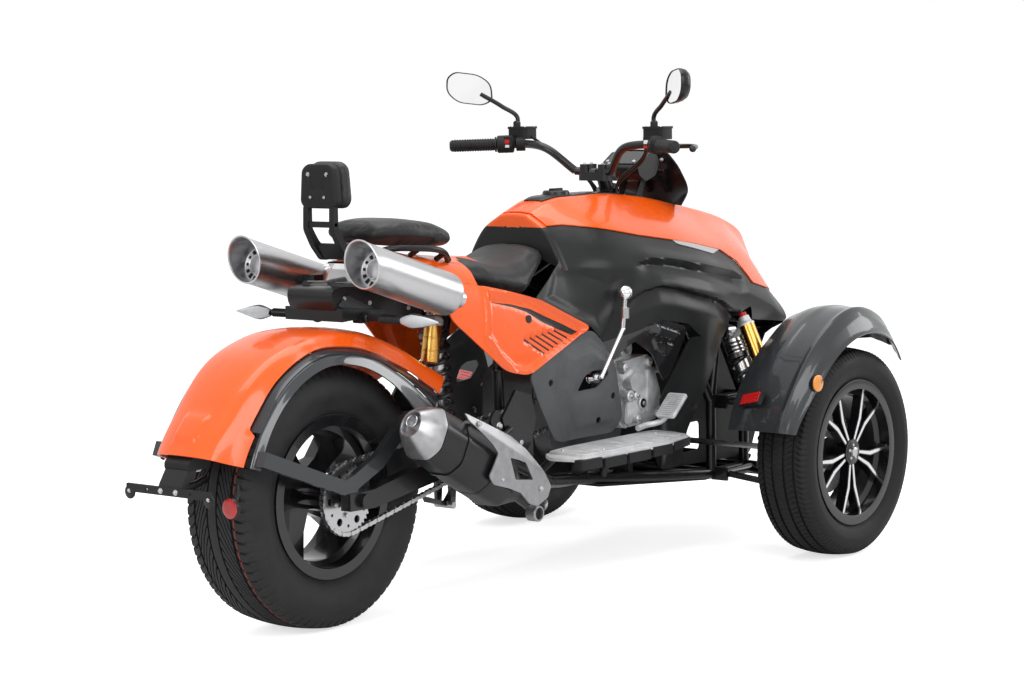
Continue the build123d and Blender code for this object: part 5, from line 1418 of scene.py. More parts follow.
# Shocks: profiles of (distance, radius), as shares of the shock's length and of its spring's outer radius.
SHOCK_HEAD = [(0, 0.28), (0.05, 0.42), (0.07, 0.72), (0.19, 0.72), (0.2, 0.6)]
SHOCK_SEAT = [(0.165, 0.9), (0.17, 1.05), (0.2, 1.05), (0.205, 0.8)]
SHOCK_BODY = [(0.2, 0.62), (0.52, 0.62), (0.53, 0.36), (0.8, 0.36)]
SHOCK_FOOT = [(0.785, 0.8), (0.79, 1.03), (0.82, 1.03), (0.85, 0.55), (0.93, 0.45), (0.98, 0.4)]
WIRE, COIL_FROM, COIL_TO = 0.17, 0.205, 0.785


def coil(top, foot, radius, wire, turns):
    """Path and wire of a spring: a helix about the line from top to foot."""
    way = unit(foot - top)
    one = unit(np.cross(way, AHEAD))
    t = np.linspace(0, 1, int(turns * 22))[:, None]
    angle = 2 * np.pi * turns * t
    return tube(top + t * (foot - top) + radius * (np.cos(angle) * one + np.sin(angle) * np.cross(way, one)), wire, 10)


def shock(top, foot, radius, turns, dark=0, silver=1):
    """Head with its grooves, upper seat, damper body, lower seat and spring."""
    top, foot = np.asarray(top, float), np.asarray(foot, float)
    length, way = np.linalg.norm(foot - top), unit(foot - top)
    part = Build()

    def turn(profile, sides, pick):
        part.turn(np.array(profile) * [length, radius], top, way, sides, pick)

    turn(SHOCK_HEAD, 32, silver)
    for a in np.array([0.09, 0.115, 0.14]) * length:
        groove = [(a, radius * 0.7), (a + 1.5, radius * 0.82), (a + 5, radius * 0.82), (a + 6.5, radius * 0.7)]
        part.ring(groove, top, way, 32, dark)
    turn(SHOCK_SEAT, 40, dark)
    turn(SHOCK_BODY, 28, silver)
    turn(SHOCK_FOOT, 40, silver)
    ends = top + way * length * COIL_FROM, top + way * length * COIL_TO
    return part.rings(coil(*ends, radius * (1 - WIRE), radius * WIRE, turns), dark)


BACK_TOP, BACK_FOOT = (470, 0, 728), (512, 0, 352)
part = shock(BACK_TOP, BACK_FOOT, 38, 7.5)
for at in (BACK_TOP, BACK_FOOT):
    part.turn([(-16, 13), (-14, 17), (14, 17), (16, 13)], at, LEFT, 28, 1)
BOTTLE = np.array([408.0, -58.0, 690.0])
way = unit([392.0 - 408.0, 0.0, 596.0 - 690.0])
part.turn([(0, 20), (1.5, 23), (92, 23), (95.4, 20)], BOTTLE, way, 36, 2)
for a in (30, 62):
    part.ring([(a, 22.6), (a + 1, 23.8), (a + 4, 23.8), (a + 5, 22.6)], BOTTLE, way, 36, 2)
part.turn([(-24, 12), (-22, 17), (-12, 25), (-3, 26), (2, 21)], BOTTLE, way, 8, 3)
part.turn([(-20, 8), (-30, 9), (-31, 4)], BOTTLE, way, 16, 1)
part.turn([(0, 9), (62, 9)], (408, -58, 700), (60, 58, 4), 18, 3)
ROCKER = [(494, 352), (512, 372), (530, 352), (516, 214), (500, 214)]
for hand, y in ((1, 18), (-1, -28)):
    part.side(ROCKER, 10, 4, 10, y)
    part.bolt((512, hand * 28, 352), (0, hand, 0), 8, 4)
part.turn([(-30, 9), (30, 9)], (508, 0, 222), LEFT, 20, 4)
part.turn([(-28, 8), (28, 8)], BACK_FOOT, LEFT, 20, 4)
part.plate([(500, 230), (520, 214), (440, 236), (432, 252)], 24, side_place(-12))
part.rod([(508, 0, 222), (602, 0, 322)], 9, 0, 16, 4)
part.rod([(430, 0, 380), (504, 0, 350)], 12, 0, 16, 4)
make("rear_damper", part, "steel", [SPRING_BLACK, STEEL, GOLD, CAST_SILVER, STEEL], ["rear_shock"], 32, 0.6)

EYE_Y, BUSH_Y, KINGPIN_Y = 372.0, 224.0, 445.0
EYE_Z = 200 + (165 - 200) * (EYE_Y - BUSH_Y) / (KINGPIN_Y - BUSH_Y) + 26
# The reservoir beside each front shock: profile, sides and finish, from its own head.
RESERVOIR = [
    ([(0, 19), (1.5, 22), (101, 22), (105, 18)], 36, 2), ([(-23, 11), (-22, 15), (-8, 17), (-1, 23), (3, 23)], 28, 3),
    ([(104, 19), (112, 19), (116, 14)], 28, 1), ([(-34, 7), (-33, 11), (-23, 11)], 20, 4),
]
for side, hand in HANDS:
    top, foot = np.array([WHEELBASE, hand * 196.0, 590.0]), np.array([WHEELBASE, hand * EYE_Y, EYE_Z])
    part = shock(top, foot, 32, 7)
    way = unit(foot - top)
    out = np.array([0.0, -way[2] * hand, way[1] * hand])
    out = out if out[1] * hand > 0 else -out
    head = top + out * 62 + way * 8
    for profile, sides, pick in RESERVOIR:
        part.turn(profile, head, way, sides, pick)
    part.rod([head - way * 6, top + way * 30], 9, 3, 16, 4)
    part.turn([(-21, 12), (-19, 15), (19, 15), (21, 12)], top, AHEAD, 28, 1)
    part.turn([(-22, 10), (-20, 13), (20, 13), (22, 10)], foot, AHEAD, 28, 1)
    for at in (top, foot):
        part.bolt(at + [-34, 0, 0], BACK, 7, 1)
    finishes, nodes = [SPRING_BLACK, STEEL, GOLD, CAST_SILVER, RED_PART], ["front_shocks"] if hand > 0 else ()
    make(f"front_damper_{side}", part, "steel", finishes, nodes, 32, 0.5)


# Chain
CHAIN_Y, PITCH, LINK_HALF = -130, 15.875, 7.94
BIG, SMALL = (np.array([0.0, REAR_AXLE_Z]), 84), (np.array([865.0, 452.0]), 34)


def chain_path():
    """Points one pitch apart on the loop round both wheels."""
    run, rise = SMALL[0] - BIG[0]
    tilt, lean = np.arctan2(rise, run), np.arctan2(BIG[1] - SMALL[1], np.hypot(run, rise))
    up, down = tilt + np.pi / 2 - lean, tilt - np.pi / 2 + lean
    front = round_points(np.linspace(up, down, 60), SMALL[1], SMALL[0])
    back = round_points(np.linspace(down, up - 2 * np.pi, 120), BIG[1], BIG[0])
    loop = np.vstack([front, back, front[:1]])
    length = np.linalg.norm(np.diff(loop, axis=0), axis=1).sum()
    return along(loop, int(round(length / PITCH / 2)) * 2 + 1)


joints = chain_path()
end = round_points(np.linspace(np.pi * 0.42, np.pi * 1.58, 8), 5.4, (-LINK_HALF, 0))
link_outline = np.concatenate([end, [(0, -3.9)], end * [-1, -1], [(0, 3.9)]])
links = Build()
for k, (a, b) in enumerate(zip(joints[:-1], joints[1:])):
    way = unit(b - a)
    flat = (a + b) / 2 + link_outline @ [way, (-way[1], way[0])]
    out, at = 5.2 if k % 2 else 3.4, (a[0], CHAIN_Y, a[1])
    for hand in (1, -1):
        links.plate(flat, 1.5 * hand, side_place(CHAIN_Y + out * hand))
    links.turn([(-6.9, 2.2), (-6.8, 2.6), (6.8, 2.6), (6.9, 2.2)], at, LEFT, 8)
    links.turn([(-3.2, 4.6), (3.2, 4.6)], at, LEFT, 8, 1)
make("chain_links", links, "steel", [STEEL, CAST_DARK], ["chain"], 40)


# Handlebar
RISER = np.array([1113.0, 218.0, 1114.0])
CLAMP = np.array([1186.45, 0.0, 1050.1])
BAR = CLAMP + [(-18.5, 0, -14), (-36.5, 60, -10), (-76.5, 135, 54), (-73.5, 218, 64), (-186.5, 376, 60)]
GRIP_WAY = unit(BAR[4] - BAR[3])
GRIP_LONG, POD_LONG, BAR_RADIUS = 128.0, 48.0, 11.0
GRIP_FROM = BAR[4] - GRIP_WAY * GRIP_LONG
POD_FROM = GRIP_FROM - GRIP_WAY * POD_LONG
GRIP_RADIUS, GRIP_FLANGE, RIB_HIGH, RIB_APART = 15.6, 20.5, 1.3, 7.0
HANDLEBAR = [TUBE_BLACK, HOSE, GRAINED, RED_PART, WHITE_PART, STAINLESS]
TUBE, RUBBER, GRAIN, RED, WHITE, BRIGHT_BOLT = range(6)


def ribbed_grip():
    """A grip whose radius rises and falls in rings along it, with a flange and a rounded end."""
    at = np.linspace(0.0, GRIP_LONG, 129)
    ribbed = (np.sin(at * 2 * np.pi / RIB_APART) > -0.2) * (at > 8) * (at < GRIP_LONG - 8)
    radius = np.where(at < 5, GRIP_FLANGE, GRIP_RADIUS + RIB_HIGH * ribbed)
    end = GRIP_RADIUS * np.sqrt(np.clip(1 - ((at - GRIP_LONG + 6) / 7.0) ** 2, 0.05, 1))
    radius = np.where(at > GRIP_LONG - 6, end, radius)
    return Build().turn(np.column_stack([at, radius]), GRIP_FROM, GRIP_WAY, 32, RUBBER)


def controls(hand):
    """Grip, switch pod, lever and reservoir of the left bar; the other hand is its mirror image."""
    upper, lower = (RED, WHITE) if hand > 0 else (WHITE, RED)
    part = Build().rod(BAR[1:], BAR_RADIUS, TUBE, 18, 60, True).join(ribbed_grip())
    part.turn([(0, 15), (0, 21), (3, 24), (43, 24), (46, 21), (46, 15)], POD_FROM, GRIP_WAY, 28, GRAIN)
    part.turn(box(21, 24.3, 23, 24.9), POD_FROM, GRIP_WAY, 28)
    part.slab(POD_FROM + [-30, -13, -6], POD_FROM + [2, 15, 20], GRAIN, 7)
    part.slab(POD_FROM + [-33, -7, 2], POD_FROM + [-28, 7, 12], upper, 2)
    part.slab(POD_FROM + [-33, -7, -9], POD_FROM + [-28, 6, -2], lower, 2)
    part.rod([POD_FROM + [0, 10, -4], POD_FROM + [38, 10, -4]], 9.0, GRAIN)
    tip = BAR[4] + [62, 12, -6]
    lever = along([POD_FROM + [36, 6, -4], POD_FROM + [56, 34, -6], POD_FROM + [60, 80, -6], tip], 40, True)
    part.rod(lever, np.interp(np.arange(40), [0, 6, 30, 39], [8, 6.5, 5.5, 6]))
    ball = np.linspace(0, np.pi, 13)
    part.turn(np.column_stack([-9 * np.cos(ball), 9 * np.sin(ball) + 0.05]), tip, LEFT, 16)
    part.slab(RISER + [-7, -22, 12], RISER + [46, 40, 40], GRAIN, 8)
    part.slab(RISER + [-9, -24, 40], RISER + [48, 42, 46], GRAIN, 9)
    for x, y in ((-2, -17), (41, 35), (-2, 35), (41, -17)):
        part.turn([(0, 3.2), (1.6, 3.0)], RISER + [x, y, 46], UP, 8, BRIGHT_BOLT)
    part.rod([RISER + [0, 2, -8], RISER + [0, 4, 14]], 13.0, TUBE, 20)
    part.turn(box(-12, 18, 12, 20), RISER, GRIP_WAY, 24, GRAIN)
    return part


bar_parts = controls(1).mirrored(controls(-1))
bar_parts.rod([BAR[1] * [1, -1, 1], BAR[0] * [1, -1, 1], BAR[0], BAR[1]], BAR_RADIUS, TUBE, 18)
bar_parts.slab(CLAMP + [-44, -48, -36], CLAMP + [10, 48, -14], TUBE, 12)
for y in (-30.0, 30.0):
    bar_parts.slab(CLAMP + [-42, y - 14, -14], CLAMP + [6, y + 14, 8], TUBE, 8)
    for x in (-34.0, -4.0):
        bar_parts.bolt(CLAMP + [x, y, 8], UP, 4.6, BRIGHT_BOLT)
COLUMN_FOOT = np.array([1469.3, 0.0, 350.1])
UP_COLUMN = unit(CLAMP - COLUMN_FOOT)
column = [(0, 24), (16, 24), (16, 16), (674, 16), (674, 30), (694, 30), (694, 20), (745, 20)]
bar_parts.turn(column, COLUMN_FOOT, UP_COLUMN, 28)
ARM_OUTLINE = rounded(box(-12, -22, 113.7, 22), 12)
ALONG_ARM = np.array([-UP_COLUMN[2], 0.0, UP_COLUMN[0]])
bar_parts.plate(ARM_OUTLINE, 8.0, facing_place(COLUMN_FOOT, ALONG_ARM, LEFT, UP_COLUMN))
make("handlebar_trim", bar_parts, "frame_black", HANDLEBAR, ["handlebar"], smooth=40, body="steering")

for side, hand in HANDS:
    start = (RISER + [20, -20, 20]) * [1, hand, 1]
    route = [start, start + [26, -22 * hand, -26], start + [58, -60 * hand, -62], CLAMP + [24, 30 * hand, -70],
             CLAMP + [44, 24 * hand, -128]]
    make(f"control_cable_{side}", Build().rod(route, 4.2, 0, 10, 48, True), "tyre_rubber", [HOSE], body="steering")
    second = [point + [-10, 8 * hand, 10] for point in route[:-1]] + [CLAMP + [38, 34 * hand, -128]]
    make(f"control_hose_{side}", Build().rod(second, 3.4, 0, 10, 48, True), "tyre_rubber", [HOSE], body="steering")


# Mirrors; the glass looks rearwards
across_way = unit([-0.58, 0.80, 0.10])
out_way = unit([0.80, 0.60, -0.02])
out_way = unit(out_way - across_way * (out_way @ across_way))
mirror_place = facing_place(RISER + [-67, 122, 150], across_way, np.cross(out_way, across_way), out_way)
MIRROR_EDGE = [(-66, -26), (-58, 20), (-20, 42), (46, 44), (66, 26), (64, -14), (30, -40), (-40, -42)]
edge = rounded(MIRROR_EDGE, 26, 8)
# Share of the edge and depth of each ring, from the rim inwards over the lip to the back of the shell.
MIRROR_RINGS = [(0.93, 3), (0.945, 0), (0.985, -1), (1.0, 2), (1.0, 8), (0.94, 20), (0.78, 30), (0.4, 36)]
mirror_parts = Build().rings([mirror_place(level(edge * share, depth)) for share, depth in MIRROR_RINGS])
mirror_parts.rings([mirror_place(level(edge * 0.932, depth)) for depth in (1.6, 3.4)], 1)
stem = RISER + [(0, 12, 44), (1, 10, 68), (-18, 50, 102), (-47, 100, 136)]
mirror_parts.rod(stem, 6.0, 0, 14, 50, True)
mirror_parts.turn([(0, 11), (14, 11), (18, 7)], RISER + [0, 12, 44], UP, 6)
both, finishes = Build().pair(mirror_parts), [SATIN_BLACK, MIRROR]
make("mirror_pair", both, "black_trim", finishes, ["mirrors"], smooth=32, body="steering")


# Tail unit: shell, lamp and tray
def tail_grid():
    """From edge to edge over the crown at each station; behind x = 350 the section narrows and flattens."""
    xs = np.linspace(150, 560, 62)
    curve = across(np.clip(xs, 350, None), 121)
    low = np.interp(xs, [150, 350, 369, 372, 480, 492, 560], [770, 762, 762, 806, 788, 846, 836])
    ends = (curve[:, :, 1] > low[:, None]).sum(1)
    at = [np.linspace(0, end, 34) for end in ends]
    half = np.stack([[np.interp(t, np.arange(121), c[:, k]) for k in (0, 1)] for t, c in zip(at, curve)])
    half = np.moveaxis(half, 1, 2)
    narrow = curve_through([150, 200, 280, 350, 560], [0.44, 0.60, 0.84, 1.0, 1.0], xs)
    lift = curve_through([150, 280, 350, 560], [-2.0, 10.0, 0.0, 0.0], xs)
    half[:, :, 0] *= narrow[:, None]
    crown = half[:, :1, 1]
    flatten = np.interp(xs, [150, 350], [0.62, 1.0])
    half[:, :, 1] = crown + (half[:, :, 1] - crown) * flatten[:, None] + lift[:, None]
    full = np.concatenate([(half * [-1, 1])[:, ::-1], half], 1)
    return np.stack([np.broadcast_to(xs[:, None], full.shape[:2]), full[..., 0], full[..., 1]], -1)


TAIL = [ORANGE, RED_LENS, CHROME, SATIN_BLACK, GRAPHITE, STAINLESS]
SKIN, LAMP_RED, LAMP_CHROME, BLOCK, GUSSET_GREY, SCREW = range(6)
tail = shell(np.moveaxis(tail_grid(), 0, 1)[::-1], 4.0, SKIN)
LAMP_EDGE = rounded([(-61, 800), (-61, 850), (-48, 863), (48, 863), (61, 850), (61, 800), (50, 794), (-50, 794)], 9, 4)
LAMP_MIDDLE = LAMP_EDGE.mean(0)
# The lamp's red band and its bright face: x of each ring and its share of the outline.
LAMP_BAND = [(176, 0.98), (160, 1.0), (157, 1.0), (157, 0.9)]
LAMP_FACE = [(158, 0.97), (142, 0.965), (137, 0.93), (134, 0.86), (133, 0.5)]
for rows, pick in ((LAMP_BAND, LAMP_RED), (LAMP_FACE, LAMP_CHROME)):
    tail.rings([at_x(x, LAMP_MIDDLE + (LAMP_EDGE - LAMP_MIDDLE) * share) for x, share in rows], pick)
TRAY = rounded([(26, 776), (46, 744), (200, 728), (350, 712), (352, 770), (190, 800), (60, 810), (28, 804)], 14, 4)
tail.plate(TRAY, 144, side_place(-72), BLOCK)
GUSSET = rounded([(43, 766), (78, 790), (182, 745), (118, 738)], 6, 3)
tail.pair(Build().plate(GUSSET, 3, side_place(72.5), GUSSET_GREY))
CAN_ARM = rounded([(150, 792), (196, 792), (200, 812), (146, 812)], 4, 3)
tail.pair(Build().plate(CAN_ARM, 84, side_place(66), BLOCK))
for x, z in ((70, 781), (160, 765), (300, 742)):
    tail.bolt((x, -72.0, z), RIGHT, 4.4, SCREW)
make("tail_unit", tail, "body_orange", TAIL, ["tail_cowl", "tail_lamp"], smooth=42, bevel=1.2)

LEAD_PATH = [(60, 56, 760), (70, 44, 748), (75, 40, 731), (90, 40, 722), (138, 38, 732), (192, 40, 741), (230, 44, 745)]
make("lamp_lead", Build().rod(LEAD_PATH, 3.2, 0, 10, 60, True), "tyre_rubber", [HOSE])


# Rear signals. Each ring: y, half height and half thickness; the lens is cut off flat behind its middle.
SIGNAL = [
    (213, 7, 7), (216, 9.5, 9), (226, 13, 11), (240, 17, 13), (250, 18.5, 13.5), (264, 17, 13), (286, 12.5, 10),
    (306, 7.5, 7), (322, 3.5, 4), (329, 1.2, 1.6),
]
signal = Build()
angle = full_turn(36)
for share, middle_x, cut, pick in ((1.0, 115, 20.0, 0), (0.94, 113.4, -1.0, 1)):
    y, high, thick = (np.array(SIGNAL) * [1, share, share]).T[..., None]
    x = middle_x + np.minimum(thick * np.cos(angle), cut)
    signal.rings(np.stack([x, np.broadcast_to(y, x.shape), 732 + high * np.sin(angle)], -1), pick)
stalk = [(92, 12), (104, 12), (106, 9), (140, 9)]
stalk += [(y, 9 + 1.8 * (k % 2)) for k, y in enumerate(np.arange(142, 206, 3))] + [(208, 8), (216, 7.5)]
signal.turn(stalk, (118, 0, 733), LEFT, 24)
signal.side([(100, 720), (136, 720), (136, 748), (100, 748)], 5, 3, 24, 70)
make("signal_pair", Build().pair(signal), "lens", [SATIN_BLACK, PALE], ["rear_signals"], smooth=40)

# Grab rail
RAIL_PATH = [(184, 66, 878), (200, 80, 886), (290, 112, 888), (390, 112, 872), (430, 92, 850)]
rail = Build().rod(RAIL_PATH, 8.0, 0, 16, 70, True)
for x, z in ((292, 884), (388, 868)):
    rail.rod([(x, 112, z), (x, 88, z - 14)], 7.0, 0, 12)
make("seat_rail", Build().pair(rail), "black_trim", [SATIN_BLACK], ["grab_rail"], smooth=50)


# Licence bracket and reflector
bracket = Build()
holes = [circle((y, 383.0), 3.3, 16) for y in (-70.0, 70.0)]
bar_place = facing_place((-446, 0, 0), LEFT, UP, BACK)
bracket.sheet(rounded(box(-136, 373, 136, 393), 4, 3), 5.0, bar_place, holes)
for y in (-127.0, 127.0):
    bracket.turn([(0, 16), (3.4, 16), (4.0, 15)], (-446, y, 372), BACK, 28)
    bracket.bolt((-450, y, 376), BACK, 4.2, 1)
for y in (-24.0, 24.0):
    bracket.bolt((-451, y, 383), BACK, 5.0, 1)
ARM = rounded([
    (-436, 374), (-446, 374), (-446, 394), (-412, 446), (-340, 466), (-330, 462), (-330, 452), (-392, 430), (-432, 386),
], 5, 3)
bracket.plate(ARM, 72, side_place(-36))
LAMP_BOX = rounded([(-424, 428), (-424, 446), (-404, 458), (-352, 452), (-352, 428)], 7, 4)
bracket.plate(LAMP_BOX, 76, side_place(-38), 2)
bracket.side(box(-416, 422, -372, 430), 3, 3, 56, -28, 3)
REFLECTOR_AT = (-366, -120, 345)
reflex = Build()
bracket.turn([(0, 22), (2, 25), (9, 25), (11, 23.5)], REFLECTOR_AT, BACK, 40)
reflex.turn([(9, 22.8), (12, 22.8), (13.2, 20), (13.6, 12), (13.7, 0.5)], REFLECTOR_AT, BACK, 40)
bracket.rod([REFLECTOR_AT, (-350, -120, 372), (-336, -108, 392)], 6.0, 0, 12)
bracket.rod([(-436, 0, 383), (-366, 0, 388), (-330, 0, 398)], 9.0, 0, 14)
finishes = [SATIN_BLACK, STAINLESS, GRAINED, PALE]
make("licence_bracket", bracket, "black_trim", finishes, ["plate_bracket"], smooth=40, bevel=0.8)
make("rear_reflector", reflex, "lens", [RED_LENS], smooth=40)


# Engine
CASE = rounded([
    (800, 330), (800, 520), (880, 560), (1010, 600), (1120, 560), (1140, 420), (1090, 300), (860, 290),
], 34, 5)
engine = Build().plate(CASE, 224, side_place(-112), 1)
for x in range(830, 1110, 28):
    fin = rounded(box(x, 300, x + 7, 330), 2, 2)
    engine.plate(fin, 236, side_place(-118), 1)
COVER_EDGE = rounded([
    (989, 539), (999, 506), (1014, 488), (1018, 382), (1036, 366), (1150, 370), (1191, 381), (1189, 449), (1168, 503),
    (1155, 531), (1134, 547), (1054, 563), (996, 553),
], 12, 4)
LEFT_EDGE = rounded([(860, 430), (900, 540), (1000, 588), (1090, 560), (1124, 470), (1090, 390), (930, 360)], 26, 5)
# Share of the edge and distance from the middle plane of each ring of a domed cover.
DOME = [
    (1.0, 150), (1.0, 170), (0.985, 173), (0.93, 174), (0.905, 180), (0.84, 190), (0.7, 200), (0.5, 206),
    (0.25, 209), (0.04, 210),
]
# Edge, middle, side, share of the dome's depth, y of the bolts, thickness and y of the plate behind the dome.
COVERS = [
    (COVER_EDGE, (1124, 462), -1, 1.0, 171, 44, -156),
    (LEFT_EDGE, (1010, 470), 1, 0.9, 154, 34, 108),
]
for edge, middle, hand, deep, bolt_y, thick, behind in COVERS:
    share, y = np.array(DOME).T[..., None]
    flat = middle + (edge - middle)[None] * share[..., None]
    y = np.broadcast_to(y * deep * hand, flat.shape[:2])
    engine.rings(np.stack([flat[..., 0], y, flat[..., 1]], -1))
    around = along(np.vstack([edge, edge[:1]]), 11)[:-1]
    for x, z in middle + (around - middle) * 0.955:
        engine.bolt((x, bolt_y * hand, z), (0, hand, 0), 4.6, 2)
    engine.plate(middle + (edge - middle) * 0.96, thick, side_place(behind))
engine.ring([(0, 13), (0, 23), (2, 25), (14, 25), (16, 23), (16, 13)], (1054, -160, 577), RIGHT, 32)
engine.turn([(2, 12.8), (10, 12.8)], (1054, -160, 577), RIGHT, 20, 2)
engine.rod([(1050, -166, 556), (1060, -164, 536)], 17.0, 0, 16)
engine.turn([(0, 16), (16, 16), (18, 14)], (1075, -194, 433), RIGHT, 30)
engine.turn([(14, 13.2), (18.6, 12.4), (18.9, 0.5)], (1075, -194, 433), RIGHT, 30, 3)
engine.turn([(18, 6), (22, 6), (23, 4)], (1075, -194, 433), RIGHT, 6, 2)
engine.rod([(1140, -180, 513), (1200, -182, 508)], 9.0, 0, 14)
engine.turn([(0, 12), (5, 12), (8, 9)], (1196, -182, 508.4), (1.0, 0.0, -0.08), 6, 2)
BOSSES = [
    ([(1018, 500), (1046, 520), (1082, 505), (1062, 462), (1028, 472)], -212, 46),
    ([(1000, 548), (1110, 560), (1130, 548), (1046, 528), (1008, 512)], -200, 44),
    ([(1020, 384), (1030, 458), (1046, 452), (1044, 376)], -190, 26),
]
for outline, out, thick in BOSSES:
    engine.side(outline, 9, 4, thick, out)
# The bolts' bosses on the right cover: x, z and radius.
BOLTED = [(1026, 456, 16), (1054, 455, 12), (1112, 540, 13), (1006, 534, 12), (1150, 400, 11), (1060, 392, 11)]
for x, z, size in BOLTED:
    engine.turn([(0, size), (20, size), (23, size - 3)], (x, -188, z), RIGHT, 24)
    engine.bolt((x, -211, z), RIGHT, 4.4, 2)
engine.side([(1090, 410), (1100, 520), (1108, 520), (1098, 408)], 2, 2, 14, -212)
BELT = rounded([(905, 380), (905, 500), (960, 560), (1010, 560), (1015, 372)], 20, 4)
engine.plate(BELT, 60, side_place(-168), 3)
fins = [(d + k, 66 if k in (2, 5) else 56) for d in range(4, 100, 9) for k in (0, 2, 5, 7)]
engine.turn([(0, 60), *fins, (104, 60), (120, 58)], (1040, 0, 540), (0.64, 0, 0.77), 40, 1)
finishes = [CAST_SILVER, CAST_DARK, STAINLESS, GRAINED]
make("engine_covers", engine, "engine_block", finishes, ["engine"], smooth=34, bevel=2.0)


# Panels of the engine bay
INNER = rounded([
    (800, 262), (800, 520), (930, 640), (1120, 655), (1300, 640), (1392, 560), (1392, 350), (1310, 236),
], 20, 5)
liner = Build().plate(INNER, 4, side_place(-60))
SPLASH = rounded([(1250, 226), (1210, 420), (1270, 620), (1560, 640), (1740, 560), (1790, 400), (1700, 214)], 24, 5)
ROD_GAP = rounded(box(1296, 258, 1452, 338), 14, 4)
splash = Build().sheet(SPLASH, 4.0, side_place(126), [ROD_GAP], 0, 40.0)
make("bay_liner", liner.pair(splash), "black_trim", [GRAINED], smooth=40)


# Footboards and brake pedal
board = Build()
BOARD = rounded([
    (556, 300), (580, 392), (930, 402), (1060, 372), (1096, 330), (1096, 262), (1040, 236), (700, 236), (600, 252),
], 16, 5)
MAT = rounded([
    (600, 262), (606, 374), (920, 384), (1048, 356), (1066, 320), (1066, 256), (1030, 248), (700, 248),
], 12, 4)


def board_place(z, hand):
    """Outline points of (x, y) at a height, with thickness upwards; y is outboard on either side."""
    return lambda p: np.column_stack([p[:, 0], hand * p[:, 1], z + p[:, 2]])


for hand in (-1, 1):
    board.plate(BOARD, 9, board_place(350, hand))
    board.plate(MAT, 9, board_place(357, hand))
    for k in range(9):
        low = 640 + 44 * k
        strip = rounded(box(low, 272, low + 16, 366), 5, 3)
        board.plate(strip, 2, board_place(365, hand))
    for a, b, drop in ((556, 640, 0), (650, 742, 5), (752, 846, 5), (856, 940, 2)):
        block = rounded(box(a, 376, b, 404), 5, 3)
        board.plate(block, 25, board_place(333 - drop, hand), 1)
    nose_block = rounded([(950, 376), (950, 402), (1062, 372), (1092, 330), (1070, 322), (1040, 356)], 5, 3)
    board.plate(nose_block, 22, board_place(335, hand), 1)
    for x, y in ((630, 285), (700, 360), (1020, 290), (960, 368)):
        board.turn([(0, 5), (2.4, 4.4), (3, 2)], (x, hand * y, 366), UP, 12, 2)
finishes = [CAST_SILVER, GRAINED, STAINLESS]
make("footboard_pair", board, "cast_silver", finishes, ["footboards"], smooth=36, bevel=1.6)

# The pad leans forward.
PAD_UP = unit([0.76, 0.0, 0.65])
pad_place = facing_place((1062, -314, 432), RIGHT, PAD_UP, np.cross(RIGHT, PAD_UP))
pedal = Build().plate(rounded(box(-30, -42, 30, 42), 8, 4), 7, pad_place)
for k in range(11):
    up = -36 + 7 * k
    tooth = box(-26, up, 26, up + 3.4)
    pedal.plate(tooth, 10, pad_place).plate(tooth, -3, pad_place)
pedal.rod([(1062, -312, 426), (1050, -288, 394), (1014, -262, 384), (980, -262, 380)], 8.0, 0, 14, 40, True)
make("pedal_pad", pedal, "cast_silver", [CAST_SILVER], ["brake_pedal"], smooth=34, bevel=0.6)


# Side markers on the front fenders
MARKER_BACK, MARKER_LENS = rounded(box(-42, -19, 42, 19), 6, 4), rounded(box(-38, -15, 38, 15), 4, 4)
for side, hand in HANDS:
    across_way, up_way = np.array([-0.315, 0.924 * hand, 0.213]), np.array([0.559, 0.0, 0.829])
    out_way = unit(np.cross(across_way, up_way))
    marker_place = facing_place((1198, 480 * hand, 444), across_way, up_way, -np.sign(out_way[0]) * out_way)
    marker = Build().plate(MARKER_BACK, 12, marker_place).plate(MARKER_LENS, 15, marker_place, 1)
    for up in (-9, 0, 9):
        marker.plate(box(-30, up - 1, 30, up + 1), 15.8, marker_place, 2)
    finishes, body = [SATIN_BLACK, RED_LENS, RED_PART], f"knuckle_{side}_body"
    make(f"fender_marker_{side}", marker, "lens", finishes, smooth=40, bevel=0.6, body=body)


# Flyscreen and instrument
# Height, x at the middle, x at the side and half width.
SCREEN_ROWS = [
    (936, 1464, 1424, 92), (978, 1456, 1434, 108), (1030, 1428, 1410, 102), (1076, 1398, 1384, 82),
    (1088, 1390, 1380, 62),
]


def screen_grid():
    """Flyscreen: each level is a parabola across, between its middle and side x, as wide as its half width."""
    levels = np.array(SCREEN_ROWS, float)
    z = np.linspace(levels[0, 0], levels[-1, 0], 36)
    middle_x, side_x, half = curve_through(levels[:, 0], levels[:, 1:], z).T
    u = np.linspace(-1, 1, 41)[None]
    x = middle_x[:, None] - (middle_x - side_x)[:, None] * u ** 2
    return np.stack([x, half[:, None] * u, np.broadcast_to(z[:, None], x.shape)], -1)


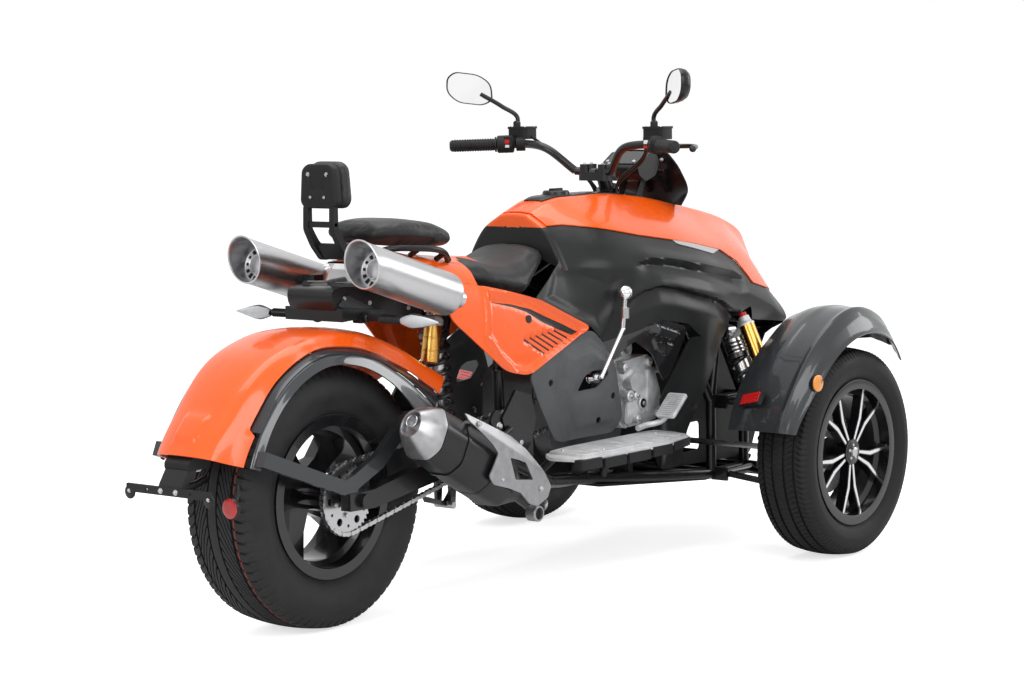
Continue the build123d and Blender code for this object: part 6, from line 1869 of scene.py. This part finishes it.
cluster = shell(screen_grid(), 4.0)
BINNACLE = rounded([
    (1262, 1046), (1326, 1086), (1346, 1084), (1366, 1060), (1348, 1022), (1300, 1006), (1270, 1024),
], 9, 4)
RIM_MIDDLE = np.array([1314, 1048])
cluster.plate(BINNACLE, 132, side_place(-66))
cluster.plate((BINNACLE - RIM_MIDDLE) * 1.03 + RIM_MIDDLE, 116, side_place(-58))
FACE_UP = unit([68, 0, 40])
FACE_OUT = np.array([-FACE_UP[2], 0.0, FACE_UP[0]])
FACE_MIDDLE = np.array([1296.0, 0.0, 1066.5])
face_place = facing_place(FACE_MIDDLE, RIGHT, FACE_UP, FACE_OUT)
cluster.plate(rounded(box(-54, -27, 54, 27), 10, 5), 4, face_place, 1)
for y in (-44.0, 44.0):
    cluster.turn([(0, 5), (5, 5), (6, 4)], FACE_MIDDLE + [0, -y, 0] - 20 * FACE_UP + 3 * FACE_OUT, FACE_OUT, 16, 2)
for y in (-34.0, 26.0):
    cluster.side([(1286, 944), (1312, 944), (1350, 1014), (1334, 1030)], 5, 3, 8, y)
    cluster.side([(1336, 1040), (1428, 1014), (1456, 982), (1450, 966), (1418, 1000), (1326, 1018)], 5, 3, 8, y)
cluster.rod([(1398, -60, 1030), (1398, 60, 1030)], 7.0, 0, 14)
cluster.rod([(1300, -50, 958), (1300, 50, 958)], 9.0, 0, 14)
for y in (-50.0, 50.0):
    cluster.turn([(0, 6), (2, 6), (4, 4), (4.6, 0.5)], (1398, y, 1062), (-0.95, 0.0, 0.3), 16, 2)
finishes = [SATIN_BLACK, GLOSS_BLACK, STAINLESS]
make("screen_cluster", cluster, "black_trim", finishes, ["console"], smooth=36, bevel=1.0)


# Bolted side brackets
side_bracket = Build()
BRACKET_PLATE = rounded([(462, 452), (486, 480), (560, 432), (640, 396), (604, 358), (520, 386)], 9, 4)
side_bracket.plate(BRACKET_PLATE, 6, side_place(-190))
for x, z in ((497, 436), (579, 386)):
    side_bracket.turn([(-30, 9), (0, 9)], (x, -190, z), RIGHT, 16)
    side_bracket.bolt((x, -190, z), RIGHT, 7.5, 1)
make("side_brackets", Build().pair(side_bracket), "frame_black", [SATIN_BLACK, STAINLESS], smooth=40, bevel=0.8)
